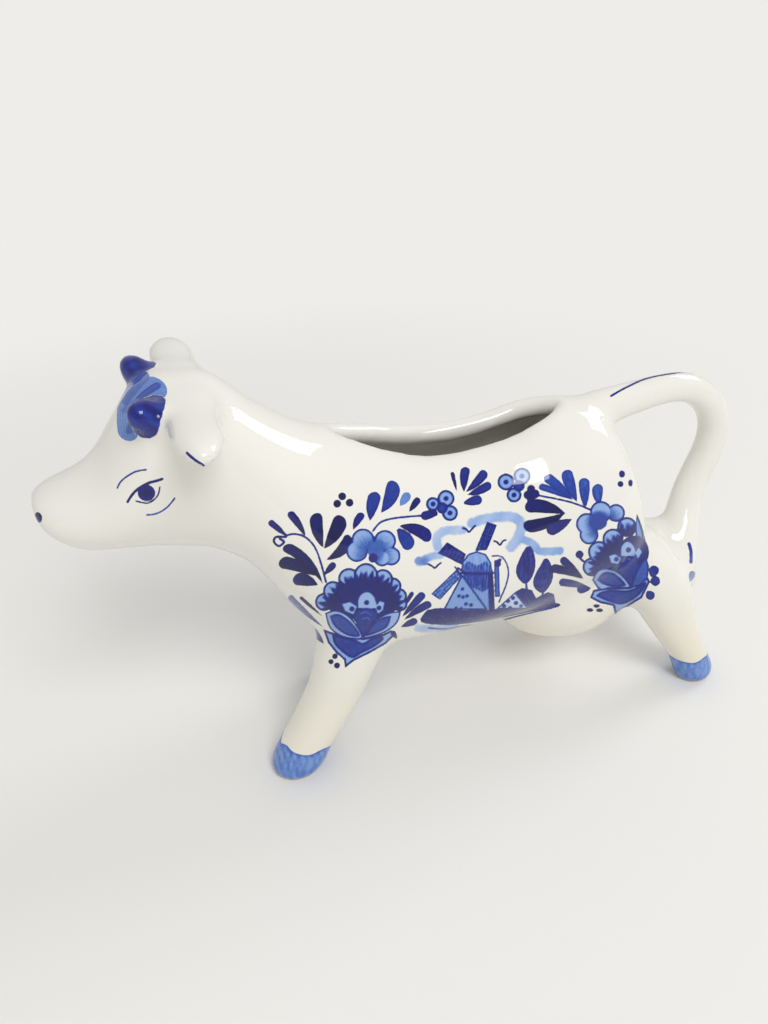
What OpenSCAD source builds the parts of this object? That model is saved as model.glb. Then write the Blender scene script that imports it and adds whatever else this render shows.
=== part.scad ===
// Cow creamer: a hollow walking cow of glazed white earthenware.
// Milk is filled in through the long opening on the back, the tail is the handle,
// and the milk is poured from the mouth.
// X runs from the muzzle to the tail, Y from the cow's left flank to the right, Z is up.
// The four feet stand on Z = 0 and the cow is centred on X and Y.

/* [Barrel] */
// Length of the barrel from the breast to the rump
barrel_l = 86; // [83:1:89]
// Greatest width of the barrel
barrel_w = 44; // [42:1:46]
// Depth of the barrel from the back to the belly
barrel_d = 50; // [48:1:52]
// Height of the belly over the table
belly_z = 26.5; // [25:0.5:28]
// Thickness of the fired wall
wall = 3.8; // [3.4:0.1:4.1]

/* [Back opening] */
// Length of the opening between the middles of its lip
opening_l = 57; // [54:1:59]
// Width of the opening between the middles of its lip
opening_w = 17.2; // [16:0.2:18.4]

/* [Neck and head] */
// Length of the neck
neck_l = 20; // [18:1:22]
// Length of the head from the muzzle to the neck
head_l = 33; // [31:1:35]
// Width of the head over the cheeks
head_w = 26; // [25:0.5:27]
// Depth of the head from the poll to the jaw
head_d = 35.5; // [34:0.5:37]
// Height of the jaw over the table
jaw_z = 62; // [60:0.5:64]
// Diameter of the pouring hole in the muzzle
mouth_d = 6.2; // [6:0.1:6.8]
// Height of the forelock over the forehead
forelock_t = 0.7; // [0.5:0.1:0.9]

/* [Horns and ears] */
// Length of a horn
horn_l = 7; // [6.4:0.1:7.6]
// Diameter of a horn at its root
horn_d = 6.4; // [6:0.1:6.8]
// Reach of an ear from the middle of the head
ear_l = 31.5; // [30:0.5:33]
// Breadth of an ear
ear_w = 9.4; // [8.8:0.1:10]
// Thickness of an ear
ear_t = 5; // [4.6:0.1:5.4]

/* [Legs] */
// Distance between the fore feet across the cow
fore_stance_w = 24.6; // [23:0.2:26]
// Distance between the hind feet across the cow
hind_stance_w = 37; // [35:1:39]
// Diameter of a fore leg
fore_leg_d = 12.8; // [12:0.2:13.6]
// Diameter of a hind leg
hind_leg_d = 10.6; // [10:0.2:11.2]
// Step of the fore feet, with the left one ahead
fore_step = 17; // [15:1:19]
// Step of the hind feet, with the left one behind
hind_step = 12; // [10:1:14]

/* [Udder] */
// Length of the udder
udder_l = 43; // [41:1:45]
// Width of the udder
udder_w = 32; // [30:1:34]
// Drop of the udder below the belly
udder_drop = 14.5; // [13:0.5:16]

/* [Tail handle] */
// Reach of the handle behind the rump
handle_reach = 25.5; // [24:0.5:27]
// Height of the handle from the tip of the tail to its top
handle_h = 54; // [52:1:56]
// Height of the tip of the tail over the table
handle_z = 26; // [24:0.5:28]
// Diameter of the handle
handle_d = 7.6; // [7.2:0.1:8.2]

/* [Hidden] */

// Overrun of every cut
over = 1;

// Facets round the skin, the hollow, the bores and the applied pieces
skin_sides = 36;
hollow_sides = 24;
bore_sides = 32;
lip_sides = 10;
leg_sides = 20;
handle_sides = 14;
ear_sides = 14;
horn_sides = 14;
udder_sides = 24;
lock_sides = 12;

// Colours of the fired glaze
glaze = [0.93, 0.92, 0.89];
cobalt = [0.07, 0.09, 0.42];

// Places along X, counted from the muzzle
total_l = head_l + neck_l + barrel_l + handle_reach;
muzzle_x = -total_l / 2;
neck_x = muzzle_x + head_l;
barrel_x = neck_x + neck_l;
rump_x = barrel_x + barrel_l;

// A rib is a slice of the cow: its top and its bottom in the middle plane, half its width,
// its swell towards the top and the power of its upper curve, which is 1 for an ellipse.
// Head ribs, muzzle first, as shares of the head's length, depth and width
head_rib_shares = [
    [0.012, 0.415, 0.027, 0.195, 0.36, 0.00, 1.00],
    [0.060, 0.475, 0.103, 0.125, 0.56, 0.00, 1.00],
    [0.150, 0.520, 0.218, 0.092, 0.68, 0.02, 0.98],
    [0.273, 0.573, 0.358, 0.076, 0.78, 0.06, 0.95],
    [0.409, 0.676, 0.515, 0.056, 0.88, 0.10, 0.92],
    [0.545, 0.834, 0.667, 0.031, 0.97, 0.12, 0.86],
    [0.682, 0.965, 0.788, 0.000, 1.03, 0.12, 0.58],
    [0.864, 1.015, 0.894, -0.023, 1.06, 0.08, 0.46],
    [1.106, 1.000, 0.985, -0.056, 1.04, 0.00, 0.70]
];
// Neck ribs, as shares of the way from the last head rib to the first barrel rib
neck_rib_shares = [
    [0.30, 0.41, 0.30, 0.16, 0.26, 0.50, 0.60],
    [0.64, 0.79, 0.60, 0.54, 0.64, 0.80, 1.00]
];
// Barrel ribs, as shares of the barrel's length, depth and width
barrel_rib_shares = [
    [0.105, 1.096, 0.017, 0.100, 0.94, -0.04, 1.00],
    [0.203, 1.062, 0.163, 0.018, 0.99, -0.04, 1.00],
    [0.302, 1.026, 0.291, 0.004, 1.00, -0.03, 1.00],
    [0.413, 1.006, 0.430, 0.000, 1.00, -0.03, 1.00],
    [0.523, 1.020, 0.570, 0.006, 1.00, -0.03, 1.00],
    [0.622, 1.058, 0.698, 0.022, 0.99, -0.03, 1.00],
    [0.721, 1.070, 0.814, 0.050, 0.97, -0.04, 1.00],
    [0.788, 1.052, 0.903, 0.100, 0.91, -0.05, 1.00],
    [0.832, 0.990, 0.950, 0.180, 0.79, -0.06, 1.00],
    [0.856, 0.896, 0.963, 0.275, 0.63, -0.06, 1.00],
    [0.864, 0.805, 0.949, 0.390, 0.44, -0.04, 1.00],
    [0.872, 0.715, 0.920, 0.505, 0.24, 0.00, 1.00]
];
muzzle_tip_shares = [-0.002, 0.300];
rump_tip_shares = [0.900, 0.610];
seam_row = len(head_rib_shares) - 1;
last_row = seam_row + len(neck_rib_shares) + len(barrel_rib_shares);

function rib(s, x, l, z, d, w) = [
    x + l * s[0], z + d * s[1],
    x + l * s[2], z + d * s[3],
    w / 2 * s[4], s[5], s[6]
];
function between(a, b, shares) = [for (i = [0 : len(a) - 1]) a[i] + (b[i] - a[i]) * shares[i]];

head_ribs = [for (s = head_rib_shares) rib(s, muzzle_x, head_l, jaw_z, head_d, head_w)];
barrel_ribs = [for (s = barrel_rib_shares) rib(s, barrel_x, barrel_l, belly_z, barrel_d, barrel_w)];
neck_ribs = [for (s = neck_rib_shares) between(head_ribs[seam_row], barrel_ribs[0], s)];
ribs = concat(head_ribs, neck_ribs, barrel_ribs);
muzzle_tip = [
    muzzle_x + head_l * muzzle_tip_shares[0], 0, jaw_z + head_d * muzzle_tip_shares[1]
];
rump_tip = [
    barrel_x + barrel_l * rump_tip_shares[0], 0, belly_z + barrel_d * rump_tip_shares[1]
];

// Smooth curve through the rows of a table, at place t between the first and the last
function row(table, i) = table[max(0, min(len(table) - 1, i))];
function through(table, t) =
    let (
        i = min(floor(t), len(table) - 2),
        f = t - i,
        a = row(table, i - 1),
        b = row(table, i),
        c = row(table, i + 1),
        d = row(table, i + 2)
    )
    b + f / 2 * (c - a + f * (2 * a - 5 * b + 4 * c - d + f * (3 * b - a - 3 * c + d)));

// Middle of the rib at place t, and its skin at angle a from the top, sunk in by depth
function heart(t) =
    let (r = through(ribs, t))
    [(r[0] + r[2]) / 2, 0, (r[1] + r[3]) / 2];
function skin_point(t, a, depth) =
    let (
        r = through(ribs, t),
        half = [r[0] - r[2], 0, r[1] - r[3]] / 2,
        rise = cos(a) > 0 ? pow(cos(a), r[6]) : cos(a)
    )
    heart(t)
    + half * (1 - depth / norm(half)) * rise
    + [0, (r[4] - depth) * sin(a) * (1 + r[5] * cos(a)), 0];

// Rings with their first corner turned from the top by a share of a side
function ring(t, depth, sides, turn) = [
    for (k = [0 : sides - 1]) skin_point(t, 360 * (k + turn) / sides, depth)
];
function rings(places, depth, sides, turn = 0) = [for (t = places) ring(t, depth, sides, turn)];

// Closed solid through a stack of rings, with a fan of faces over each end
module loft(stack, first_tip, last_tip) {
    n = len(stack[0]);
    m = len(stack);
    polyhedron(
        points = concat([for (r = stack) each r], [first_tip, last_tip]),
        faces = concat(
            [
                for (j = [0 : m - 2]) for (k = [0 : n - 1])
                    let (a = j * n + k, b = j * n + (k + 1) % n)
                    each [[a, b, b + n], [a, b + n, a + n]]
            ],
            [for (k = [0 : n - 1]) [n * m, (k + 1) % n, k]],
            [for (k = [0 : n - 1]) [n * m + 1, (m - 1) * n + k, (m - 1) * n + (k + 1) % n]]
        )
    );
}

// Rings along the cow: the head ends and the body begins on the same ring
ring_step = 0.5;
hollow_step = 0.75;
head_places = [for (t = [0 : ring_step : seam_row]) t];
neck_places = [for (t = [seam_row + ring_step : ring_step : last_row]) t];

// The whole cow without its applied pieces, solid
module cow_solid() {
    loft(rings(concat(head_places, neck_places), 0, skin_sides), muzzle_tip, rump_tip);
}

module head_solid() {
    loft(rings(head_places, 0, skin_sides), muzzle_tip, heart(seam_row));
}

module body_solid() {
    loft(rings(concat([seam_row], neck_places), 0, skin_sides), heart(seam_row), rump_tip);
}

// The hollow from inside the muzzle to inside the rump. Its corners lie between the skin's.
hollow_turn_share = 0.5;
hollow_first = 2.9;
hollow_last = last_row - 4;
module hollow() {
    places = [for (t = [hollow_first : hollow_step : hollow_last]) t];
    loft(
        rings(places, wall, hollow_sides, hollow_turn_share),
        heart(places[0]),
        heart(places[len(places) - 1])
    );
}

// Hulls between neighbouring rings, which join into one bent and tapered rod. Each hull
// runs on into the next one with a short tip, so that the two overlap.
tip_share = 0.1;
function middle_of(ring) = [for (r = ring) 1] * ring / len(ring);
module link(stack, closed = false) {
    n = len(stack[0]);
    m = len(stack);
    for (i = [0 : closed ? m - 1 : m - 2]) {
        from = middle_of(stack[i]);
        to = middle_of(stack[(i + 1) % m]);
        hull()
            polyhedron(
                points = concat(stack[i], stack[(i + 1) % m], [to + (to - from) * tip_share]),
                faces = [[for (k = [0 : 2 * n]) k]]
            );
    }
}

// Ring round a path: across it, with its flat axis square to the up direction
function cross_ring(p, way, up, radii, sides) =
    let (
        u = cross(up, way),
        v = cross(way, u)
    )
    [
        for (k = [0 : sides - 1])
            p + u / norm(u) * radii[0] * cos(360 * k / sides)
            + v / norm(v) * radii[1] * sin(360 * k / sides)
    ];
function way_at(path, i, closed) =
    let (n = len(path))
    closed ? path[(i + 1) % n] - path[(i + n - 1) % n]
    : path[min(n - 1, i + 1)] - path[max(0, i - 1)];
function rod_rings(path, up, radii, sides, closed = false) = [
    for (i = [0 : len(path) - 1])
        cross_ring(path[i], way_at(path, i, closed), up, radii[i], sides)
];

// Lip of the back opening: a leaf-shaped loop on the middle of the wall. The shares are its
// width along its length, next to an ellipse's.
opening_front_share = 0.060;
leaf_shares = [
    [0.98], [0.92], [1.05], [1.07], [1.06], [1.00], [0.95], [0.92], [0.93], [0.98], [1.05], [1.08], [1.06]
];
lip_bead_share = 0.6;
lip_steps = 44;
halvings = 24;
opening_x = barrel_x + barrel_l * opening_front_share + opening_l / 2;

// Place of the rib whose top stands at x, found by halving
function place_at(x, low, high, n) =
    let (mid = (low + high) / 2)
    n == 0 ? mid
    : through(ribs, mid)[0] < x ? place_at(x, mid, high, n - 1)
    : place_at(x, low, mid, n - 1);

function lip_point(a) =
    let (
        u = (1 - cos(a)) / 2,
        t = place_at(opening_x + opening_l * (u - 1 / 2), seam_row, last_row, halvings),
        y = sin(a) * opening_w / 2 * through(leaf_shares, u * (len(leaf_shares) - 1))[0]
    )
    skin_point(t, asin(y / (through(ribs, t)[4] - wall / 2)), wall / 2);
lip_points = [for (k = [0 : lip_steps - 1]) lip_point(360 * k / lip_steps)];

module lip() {
    bead = wall * lip_bead_share;
    link(rod_rings(lip_points, [0, 0, 1], [for (p = lip_points) [bead, bead]], lip_sides, true), true);
}

module body_shell() {
    color(glaze)
        union() {
            difference() {
                body_solid();
                hollow();
                translate([0, 0, belly_z + barrel_d / 2])
                    linear_extrude(height = barrel_d)
                        polygon([for (p = lip_points) [p[0], p[1]]]);
            }
            lip();
        }
}

// Forelock: three locks in low relief that part between the horns
lock_start = 6.9;
lock_fall = 1.5;
lock_turns = [-34, -3, 30];
lock_fall_shares = [0.85, 1.00, 0.80];
lock_part_share = 0.35;
lock_r_share = 0.10;
lock_tip_share = 0.75;
lock_steps = 2;
module forelock() {
    lock_r = head_w * lock_r_share;
    for (i = [0 : len(lock_turns) - 1]) {
        path = [
            for (k = [0 : lock_steps])
                let (f = k / lock_steps)
                skin_point(
                    lock_start - lock_fall * lock_fall_shares[i] * f,
                    lock_turns[i] * (lock_part_share + f * (1 - lock_part_share)),
                    lock_r - forelock_t
                )
        ];
        for (k = [0 : lock_steps - 1])
            hull() {
                translate(path[k])
                    sphere(r = lock_r, $fn = lock_sides);
                translate(path[k + 1])
                    sphere(r = lock_r * (k + 1 == lock_steps ? lock_tip_share : 1), $fn = lock_sides);
            }
    }
}

mouth_rise_share = 0.29;
mouth_reach_share = 0.40;
module head_shell() {
    color(glaze)
        difference() {
            union() {
                head_solid();
                forelock();
            }
            hollow();
            translate([muzzle_x - over, 0, jaw_z + head_d * mouth_rise_share])
                rotate([0, 90, 0])
                    cylinder(d = mouth_d, h = over + head_l * mouth_reach_share, $fn = bore_sides);
        }
}

// Legs: rings from the hoof to inside the barrel, as shares of the way from foot to hip
leg_rise_shares = [0, 0.03, 0.08, 0.155, 0.26, 0.37, 0.48, 0.59, 0.70, 0.83, 1];
fore_shift_shares = [0, 0.02, 0.07, 0.15, 0.30, 0.44, 0.57, 0.67, 0.755, 0.86, 1];
hind_shift_shares = [0, 0.01, 0.035, 0.105, 0.23, 0.35, 0.445, 0.53, 0.63, 0.785, 1];
fore_girth_shares = [0.80, 0.92, 0.97, 0.95, 0.96, 0.98, 1.01, 1.07, 1.18, 1.20, 0.90];
hind_girth_shares = [0.78, 0.90, 0.95, 0.93, 0.98, 1.10, 1.30, 1.50, 1.64, 1.50, 1.00];
fore_foot_share = -0.114;
fore_hip_shares = [0.128, 0.22, 0.39];
hind_foot_share = 1.178;
hind_hip_shares = [0.878, 0.18, 0.47];
hip_step_share = 0.16;
hip_power = 1.6;

module leg(foot, hip, d, shift_shares, girth_shares) {
    slant = 1 / cos(atan2(abs(hip[0] - foot[0]), hip[2]));
    stack = [
        for (i = [0 : len(leg_rise_shares) - 1])
            let (
                middle = [
                    foot[0] + (hip[0] - foot[0]) * shift_shares[i],
                    foot[1] + (hip[1] - foot[1]) * pow(leg_rise_shares[i], hip_power),
                    hip[2] * leg_rise_shares[i]
                ],
                r = d / 2 * girth_shares[i]
            )
            cross_ring(middle, [0, 0, 1], [0, 1, 0], [r * slant, r], leg_sides)
    ];
    link(stack);
}

module fore_leg(side, back) {
    foot = [barrel_x + barrel_l * fore_foot_share + back, side * fore_stance_w / 2, 0];
    hip = [
        barrel_x + barrel_l * fore_hip_shares[0] + back * hip_step_share,
        side * barrel_w * fore_hip_shares[1],
        belly_z + barrel_d * fore_hip_shares[2]
    ];
    leg(foot, hip, fore_leg_d, fore_shift_shares, fore_girth_shares);
}

module hind_leg(side, ahead) {
    foot = [barrel_x + barrel_l * hind_foot_share - ahead, side * hind_stance_w / 2, 0];
    hip = [
        barrel_x + barrel_l * hind_hip_shares[0] - ahead * hip_step_share,
        side * barrel_w * hind_hip_shares[1],
        belly_z + barrel_d * hind_hip_shares[2]
    ];
    leg(foot, hip, hind_leg_d, hind_shift_shares, hind_girth_shares);
}

module leg_front_left() {
    color(glaze)
        difference() {
            fore_leg(-1, 0);
            cow_solid();
        }
}

module leg_front_right() {
    color(glaze)
        difference() {
            fore_leg(1, fore_step);
            cow_solid();
        }
}

module leg_hind_left() {
    color(glaze)
        difference() {
            hind_leg(-1, 0);
            cow_solid();
            udder_solid();
        }
}

module leg_hind_right() {
    color(glaze)
        difference() {
            hind_leg(1, hind_step);
            cow_solid();
            udder_solid();
        }
}

// Udder: a smooth swelling under the rear of the belly
udder_place_share = 0.79;
udder_heart_share = 0.08;
udder_trim = 20;
udder_steps = 10;
module udder_solid() {
    middle = [barrel_x + barrel_l * udder_place_share, 0, belly_z + barrel_d * udder_heart_share];
    drop = udder_drop + barrel_d * udder_heart_share;
    link([
        for (i = [0 : udder_steps])
            let (a = udder_trim + (180 - 2 * udder_trim) * i / udder_steps)
            cross_ring(
                middle - [udder_l / 2 * cos(a), 0, 0],
                [1, 0, 0],
                [0, 0, 1],
                [udder_w / 2 * sin(a), drop * sin(a)],
                udder_sides
            )
    ]);
}

module udder() {
    color(glaze)
        difference() {
            udder_solid();
            cow_solid();
        }
}

// Tail handle: rises off the croup, loops over and comes down on the left hind leg.
// Places as shares of the reach behind the rump, of half the hind stance and of the
// handle's height, with the girth as a share of its diameter
handle_shares = [
    [-0.824, 0.00, 0.870, 1.70], [-0.588, 0.00, 0.915, 1.36], [-0.353, 0.00, 0.943, 1.13],
    [-0.118, 0.00, 0.959, 1.02], [0.118, 0.00, 0.972, 0.97], [0.333, 0.00, 0.970, 0.96],
    [0.490, 0.00, 0.950, 0.96], [0.627, 0.00, 0.909, 0.97], [0.753, 0.00, 0.848, 0.99],
    [0.824, 0.00, 0.781, 1.00], [0.855, 0.00, 0.704, 1.00], [0.835, 0.00, 0.611, 1.00],
    [0.769, 0.00, 0.515, 1.01], [0.690, -0.03, 0.422, 1.05], [0.612, -0.12, 0.326, 1.15],
    [0.525, -0.26, 0.231, 1.30], [0.455, -0.43, 0.133, 1.28], [0.443, -0.58, 0.048, 1.10],
    [0.467, -0.66, -0.015, 0.78]
];
// The web from the foot of the loop to the rump, in the same shares
web_shares = [
    [0.549, -0.19, 0.230, 1.20], [0.314, -0.12, 0.205, 1.26],
    [0.078, -0.06, 0.225, 1.26], [-0.157, -0.02, 0.280, 1.20]
];
handle_steps = 30;
web_steps = 5;

function handle_row(s) = [
    rump_x + handle_reach * s[0],
    hind_stance_w / 2 * s[1],
    handle_z + handle_h * s[2],
    handle_d / 2 * s[3]
];
function handle_rings(shares, steps) =
    let (
        table = [for (s = shares) handle_row(s)],
        rows = [for (k = [0 : steps]) through(table, k * (len(table) - 1) / steps)]
    )
    rod_rings(
        [for (r = rows) [r[0], r[1], r[2]]],
        [0, 1, 0],
        [for (r = rows) [r[3], r[3]]],
        handle_sides
    );

module tail_handle() {
    color(glaze)
        difference() {
            union() {
                link(handle_rings(handle_shares, handle_steps));
                link(handle_rings(web_shares, web_steps));
            }
            cow_solid();
            hind_leg(-1, 0);
            udder_solid();
        }
}

// Ears: leaves that stand out sideways behind the horns, as shares of the reach,
// the lift, the breadth and the thickness
ear_place_shares = [0.945, 0.905];
ear_shares = [
    [0.18, 0.000, 1.36, 1.55], [0.32, 0.000, 1.22, 1.36], [0.44, 0.006, 1.06, 1.12],
    [0.56, 0.014, 1.00, 0.94], [0.68, 0.020, 1.00, 0.84], [0.79, 0.024, 0.92, 0.76],
    [0.88, 0.024, 0.76, 0.66], [0.95, 0.020, 0.52, 0.50], [1.00, 0.016, 0.22, 0.26]
];
module ear(side) {
    stack = [
        for (s = ear_shares)
            cross_ring(
                [
                    muzzle_x + head_l * ear_place_shares[0],
                    side * ear_l * s[0],
                    jaw_z + head_d * ear_place_shares[1] + ear_l * s[1]
                ],
                [0, side, 0],
                [0, 0, 1],
                [ear_w / 2 * s[2], ear_t / 2 * s[3]],
                ear_sides
            )
    ];
    difference() {
        link(stack);
        cow_solid();
    }
}

module ear_left() {
    color(glaze)
        ear(-1);
}

module ear_right() {
    color(glaze)
        ear(1);
}

// Horns: short blunt nubs that point forward and out from the corners of the poll
horn_place_shares = [0.76, 0.36, 0.905];
horn_way = [-0.45, 0.70, 0.42];
horn_shares = [
    [-0.30, 1.00], [0.00, 1.00], [0.25, 0.98], [0.45, 0.94], [0.62, 0.86],
    [0.77, 0.74], [0.88, 0.58], [0.96, 0.38], [1.00, 0.18]
];
module horn(side) {
    root = [
        muzzle_x + head_l * horn_place_shares[0],
        side * head_w * horn_place_shares[1],
        jaw_z + head_d * horn_place_shares[2]
    ];
    way = [horn_way[0], side * horn_way[1], horn_way[2]] / norm(horn_way);
    difference() {
        link(rod_rings(
            [for (s = horn_shares) root + way * horn_l * s[0]],
            [0, 0, 1],
            [for (s = horn_shares) [horn_d / 2 * s[1], horn_d / 2 * s[1]]],
            horn_sides
        ));
        cow_solid();
    }
}

module horn_left() {
    color(cobalt)
        horn(-1);
}

module horn_right() {
    color(cobalt)
        horn(1);
}

body_shell();
head_shell();
leg_front_left();
leg_front_right();
leg_hind_left();
leg_hind_right();
udder();
tail_handle();
ear_left();
ear_right();
horn_left();
horn_right();
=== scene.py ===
"""Looks of a hand-painted cow creamer: one glazed casting, its cobalt painting and a pale studio.

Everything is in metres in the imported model's own frame: X from the muzzle to the tail, Y from the
cow's left flank to its right one, Z up from the table. Sizes are written in millimetres and
places of the painting in pixels of the photograph, which the camera carries to the flanks.
"""

import logging
import math
from dataclasses import dataclass
from enum import Enum

import bmesh
import bpy
import numpy as np
from mathutils import Matrix, Vector
from mathutils.bvhtree import BVHTree


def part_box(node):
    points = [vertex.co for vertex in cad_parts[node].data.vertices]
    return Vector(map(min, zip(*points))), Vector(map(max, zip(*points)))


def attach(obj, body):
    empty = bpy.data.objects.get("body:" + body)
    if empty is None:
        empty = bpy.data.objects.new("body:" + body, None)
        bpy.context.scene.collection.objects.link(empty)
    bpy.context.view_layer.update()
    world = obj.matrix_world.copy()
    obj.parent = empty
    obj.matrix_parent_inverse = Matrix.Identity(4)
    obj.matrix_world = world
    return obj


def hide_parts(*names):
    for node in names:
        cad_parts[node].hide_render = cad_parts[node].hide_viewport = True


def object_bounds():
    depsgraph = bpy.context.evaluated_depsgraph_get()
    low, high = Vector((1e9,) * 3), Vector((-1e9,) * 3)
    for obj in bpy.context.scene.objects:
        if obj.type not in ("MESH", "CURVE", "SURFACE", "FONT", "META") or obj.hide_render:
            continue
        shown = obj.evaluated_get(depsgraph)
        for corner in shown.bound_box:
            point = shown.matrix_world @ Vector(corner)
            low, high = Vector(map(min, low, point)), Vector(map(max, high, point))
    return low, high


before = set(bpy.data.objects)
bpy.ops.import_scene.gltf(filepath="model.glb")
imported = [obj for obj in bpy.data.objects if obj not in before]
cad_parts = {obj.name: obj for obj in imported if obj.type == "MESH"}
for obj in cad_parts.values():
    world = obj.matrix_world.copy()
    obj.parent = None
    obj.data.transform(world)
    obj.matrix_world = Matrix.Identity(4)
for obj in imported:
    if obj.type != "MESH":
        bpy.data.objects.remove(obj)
CAD_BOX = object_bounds()

log = logging.getLogger("cow_creamer")

MM = 0.001
PHOTO_W, PHOTO_H = 768, 1024
SENSOR_MM = 36.0
# How many millimetres of the near flank one pixel of the photograph spans
MM_PER_PX = 1 / 4.25
# Pixels beyond which no stroke's edge matters
REACH = 5.0
BODY = "root"

Pixel = tuple[float, float]


class Slot(Enum):
    """The record's material slots."""

    GLAZE = "glaze"
    COBALT = "cobalt"


def rgb(hex_colour: str) -> tuple[float, float, float, float]:
    """Turns an sRGB hex colour into the linear colour that a shader takes.

    Args:
        hex_colour: Six hex digits after a hash sign.

    Returns:
        Linear red, green, blue and an alpha of 1.
    """
    parts = [int(hex_colour[i:i + 2], 16) / 255 for i in (1, 3, 5)]
    linear = [c / 12.92 if c <= 0.04045 else ((c + 0.055) / 1.055) ** 2.4 for c in parts]
    return (*linear, 1.0)


def between(low: float, high: float, values: np.ndarray) -> np.ndarray:
    """Rises smoothly from 0 at low to 1 at high.

    Args:
        low: Value at which the step begins.
        high: Value at which the step ends.
        values: Values to run through the step.

    Returns:
        The steps, from 0 to 1.
    """
    t = np.clip((values - low) / (high - low), 0.0, 1.0)
    return t * t * (3 - 2 * t)


def zone(limits: tuple[float, float, float, float], values: np.ndarray) -> np.ndarray:
    """Rises smoothly from 0 to 1 and falls back to 0.

    Args:
        limits: Where it begins and ends to rise, and begins and ends to fall.
        values: Values to run through the zone.

    Returns:
        Shares from 0 to 1.
    """
    return between(*limits[:2], values) * (1 - between(*limits[2:], values))


@dataclass(frozen=True)
class Wave:
    """One wave of the unevenness that a hand leaves.

    Attributes:
        height: Its height.
        way: How fast it runs, in radians for each unit of place along each axis.
        phase: Where it begins, in radians.
    """

    height: float
    way: tuple[float, ...]
    phase: float = 0.0

    def at(self, places: np.ndarray) -> np.ndarray:
        """Measures the wave.

        Args:
            places: Places, one row each.

        Returns:
            Its heights there.
        """
        return self.height * np.sin(places @ np.array(self.way) + self.phase)


def ripple(waves: tuple[Wave, ...], places: np.ndarray) -> np.ndarray:
    """Adds waves up.

    Args:
        waves: The waves.
        places: Places, one row each.

    Returns:
        The height of all of them there.
    """
    return sum(wave.at(places) for wave in waves)


@dataclass(frozen=True)
class ViewPoint:
    """The photograph's camera, found from the object's outline and its feet on the table."""

    place_mm: tuple[float, float, float] = (-58.8, -143.1, 149.8)
    heading_deg: float = -18.5
    pitch_deg: float = 31.0
    roll_deg: float = 1.16
    focal_px: float = 769.0

    def axes(self) -> tuple[Vector, Vector, Vector]:
        """Returns the directions right, down and forward in the frame."""
        turn = Matrix.Rotation(math.radians(self.heading_deg), 3, "Z")
        pitch, roll = math.radians(self.pitch_deg), math.radians(self.roll_deg)
        right = turn @ Vector((1, 0, 0))
        forward = turn @ Vector((0, math.cos(pitch), -math.sin(pitch)))
        down = turn @ Vector((0, -math.sin(pitch), -math.cos(pitch)))
        return (
            right * math.cos(roll) + down * math.sin(roll),
            down * math.cos(roll) - right * math.sin(roll),
            forward,
        )

    def place(self) -> Vector:
        """Returns the camera's place in metres."""
        return Vector(self.place_mm) * MM

    def pixels(self, points: np.ndarray) -> np.ndarray:
        """Finds where points of the frame fall in the photograph.

        Args:
            points: Places in metres, one row each.

        Returns:
            Pixels across and down, one row each.
        """
        right, down, forward = (np.array(a) for a in self.axes())
        away = points - np.array(self.place())
        depth = away @ forward
        return np.stack(
            [
                PHOTO_W / 2 + self.focal_px * (away @ right) / depth,
                PHOTO_H / 2 + self.focal_px * (away @ down) / depth,
            ],
            axis=1,
        )

    def make(self) -> bpy.types.Object:
        """Adds the camera and makes it the scene's."""
        right, down, forward = self.axes()
        data = bpy.data.cameras.new("camera")
        data.sensor_width = SENSOR_MM
        data.lens = self.focal_px * SENSOR_MM / PHOTO_H
        data.clip_start, data.clip_end = 0.01, 50
        camera = bpy.data.objects.new("camera", data)
        turn = Matrix((right, -down, -forward)).transposed().to_4x4()
        camera.matrix_world = Matrix.Translation(self.place()) @ turn
        bpy.context.scene.collection.objects.link(camera)
        bpy.context.scene.camera = camera
        return camera


class Shader:
    """The node tree of a material or of the surroundings, under construction."""

    def __init__(self, owner: bpy.types.Material | bpy.types.World) -> None:
        """Starts an empty tree.

        Args:
            owner: The new material or world.
        """
        owner.use_nodes = True
        self.tree = owner.node_tree
        self.tree.nodes.clear()

    def add(
        self, kind: str, links: dict[str | int, object] | None = None, **settings: object
    ) -> bpy.types.Node:
        """Adds a node with its settings and its inputs.

        Args:
            kind: The node's type name.
            links: Input name or number to a value, or to the output socket that feeds it.
            settings: Properties of the node itself.

        Returns:
            The new node.
        """
        node = self.tree.nodes.new(kind)
        for key, value in settings.items():
            setattr(node, key, value)
        for key, value in (links or {}).items():
            if isinstance(value, bpy.types.NodeSocket):
                self.tree.links.new(value, node.inputs[key])
            else:
                node.inputs[key].default_value = value
        return node


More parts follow.
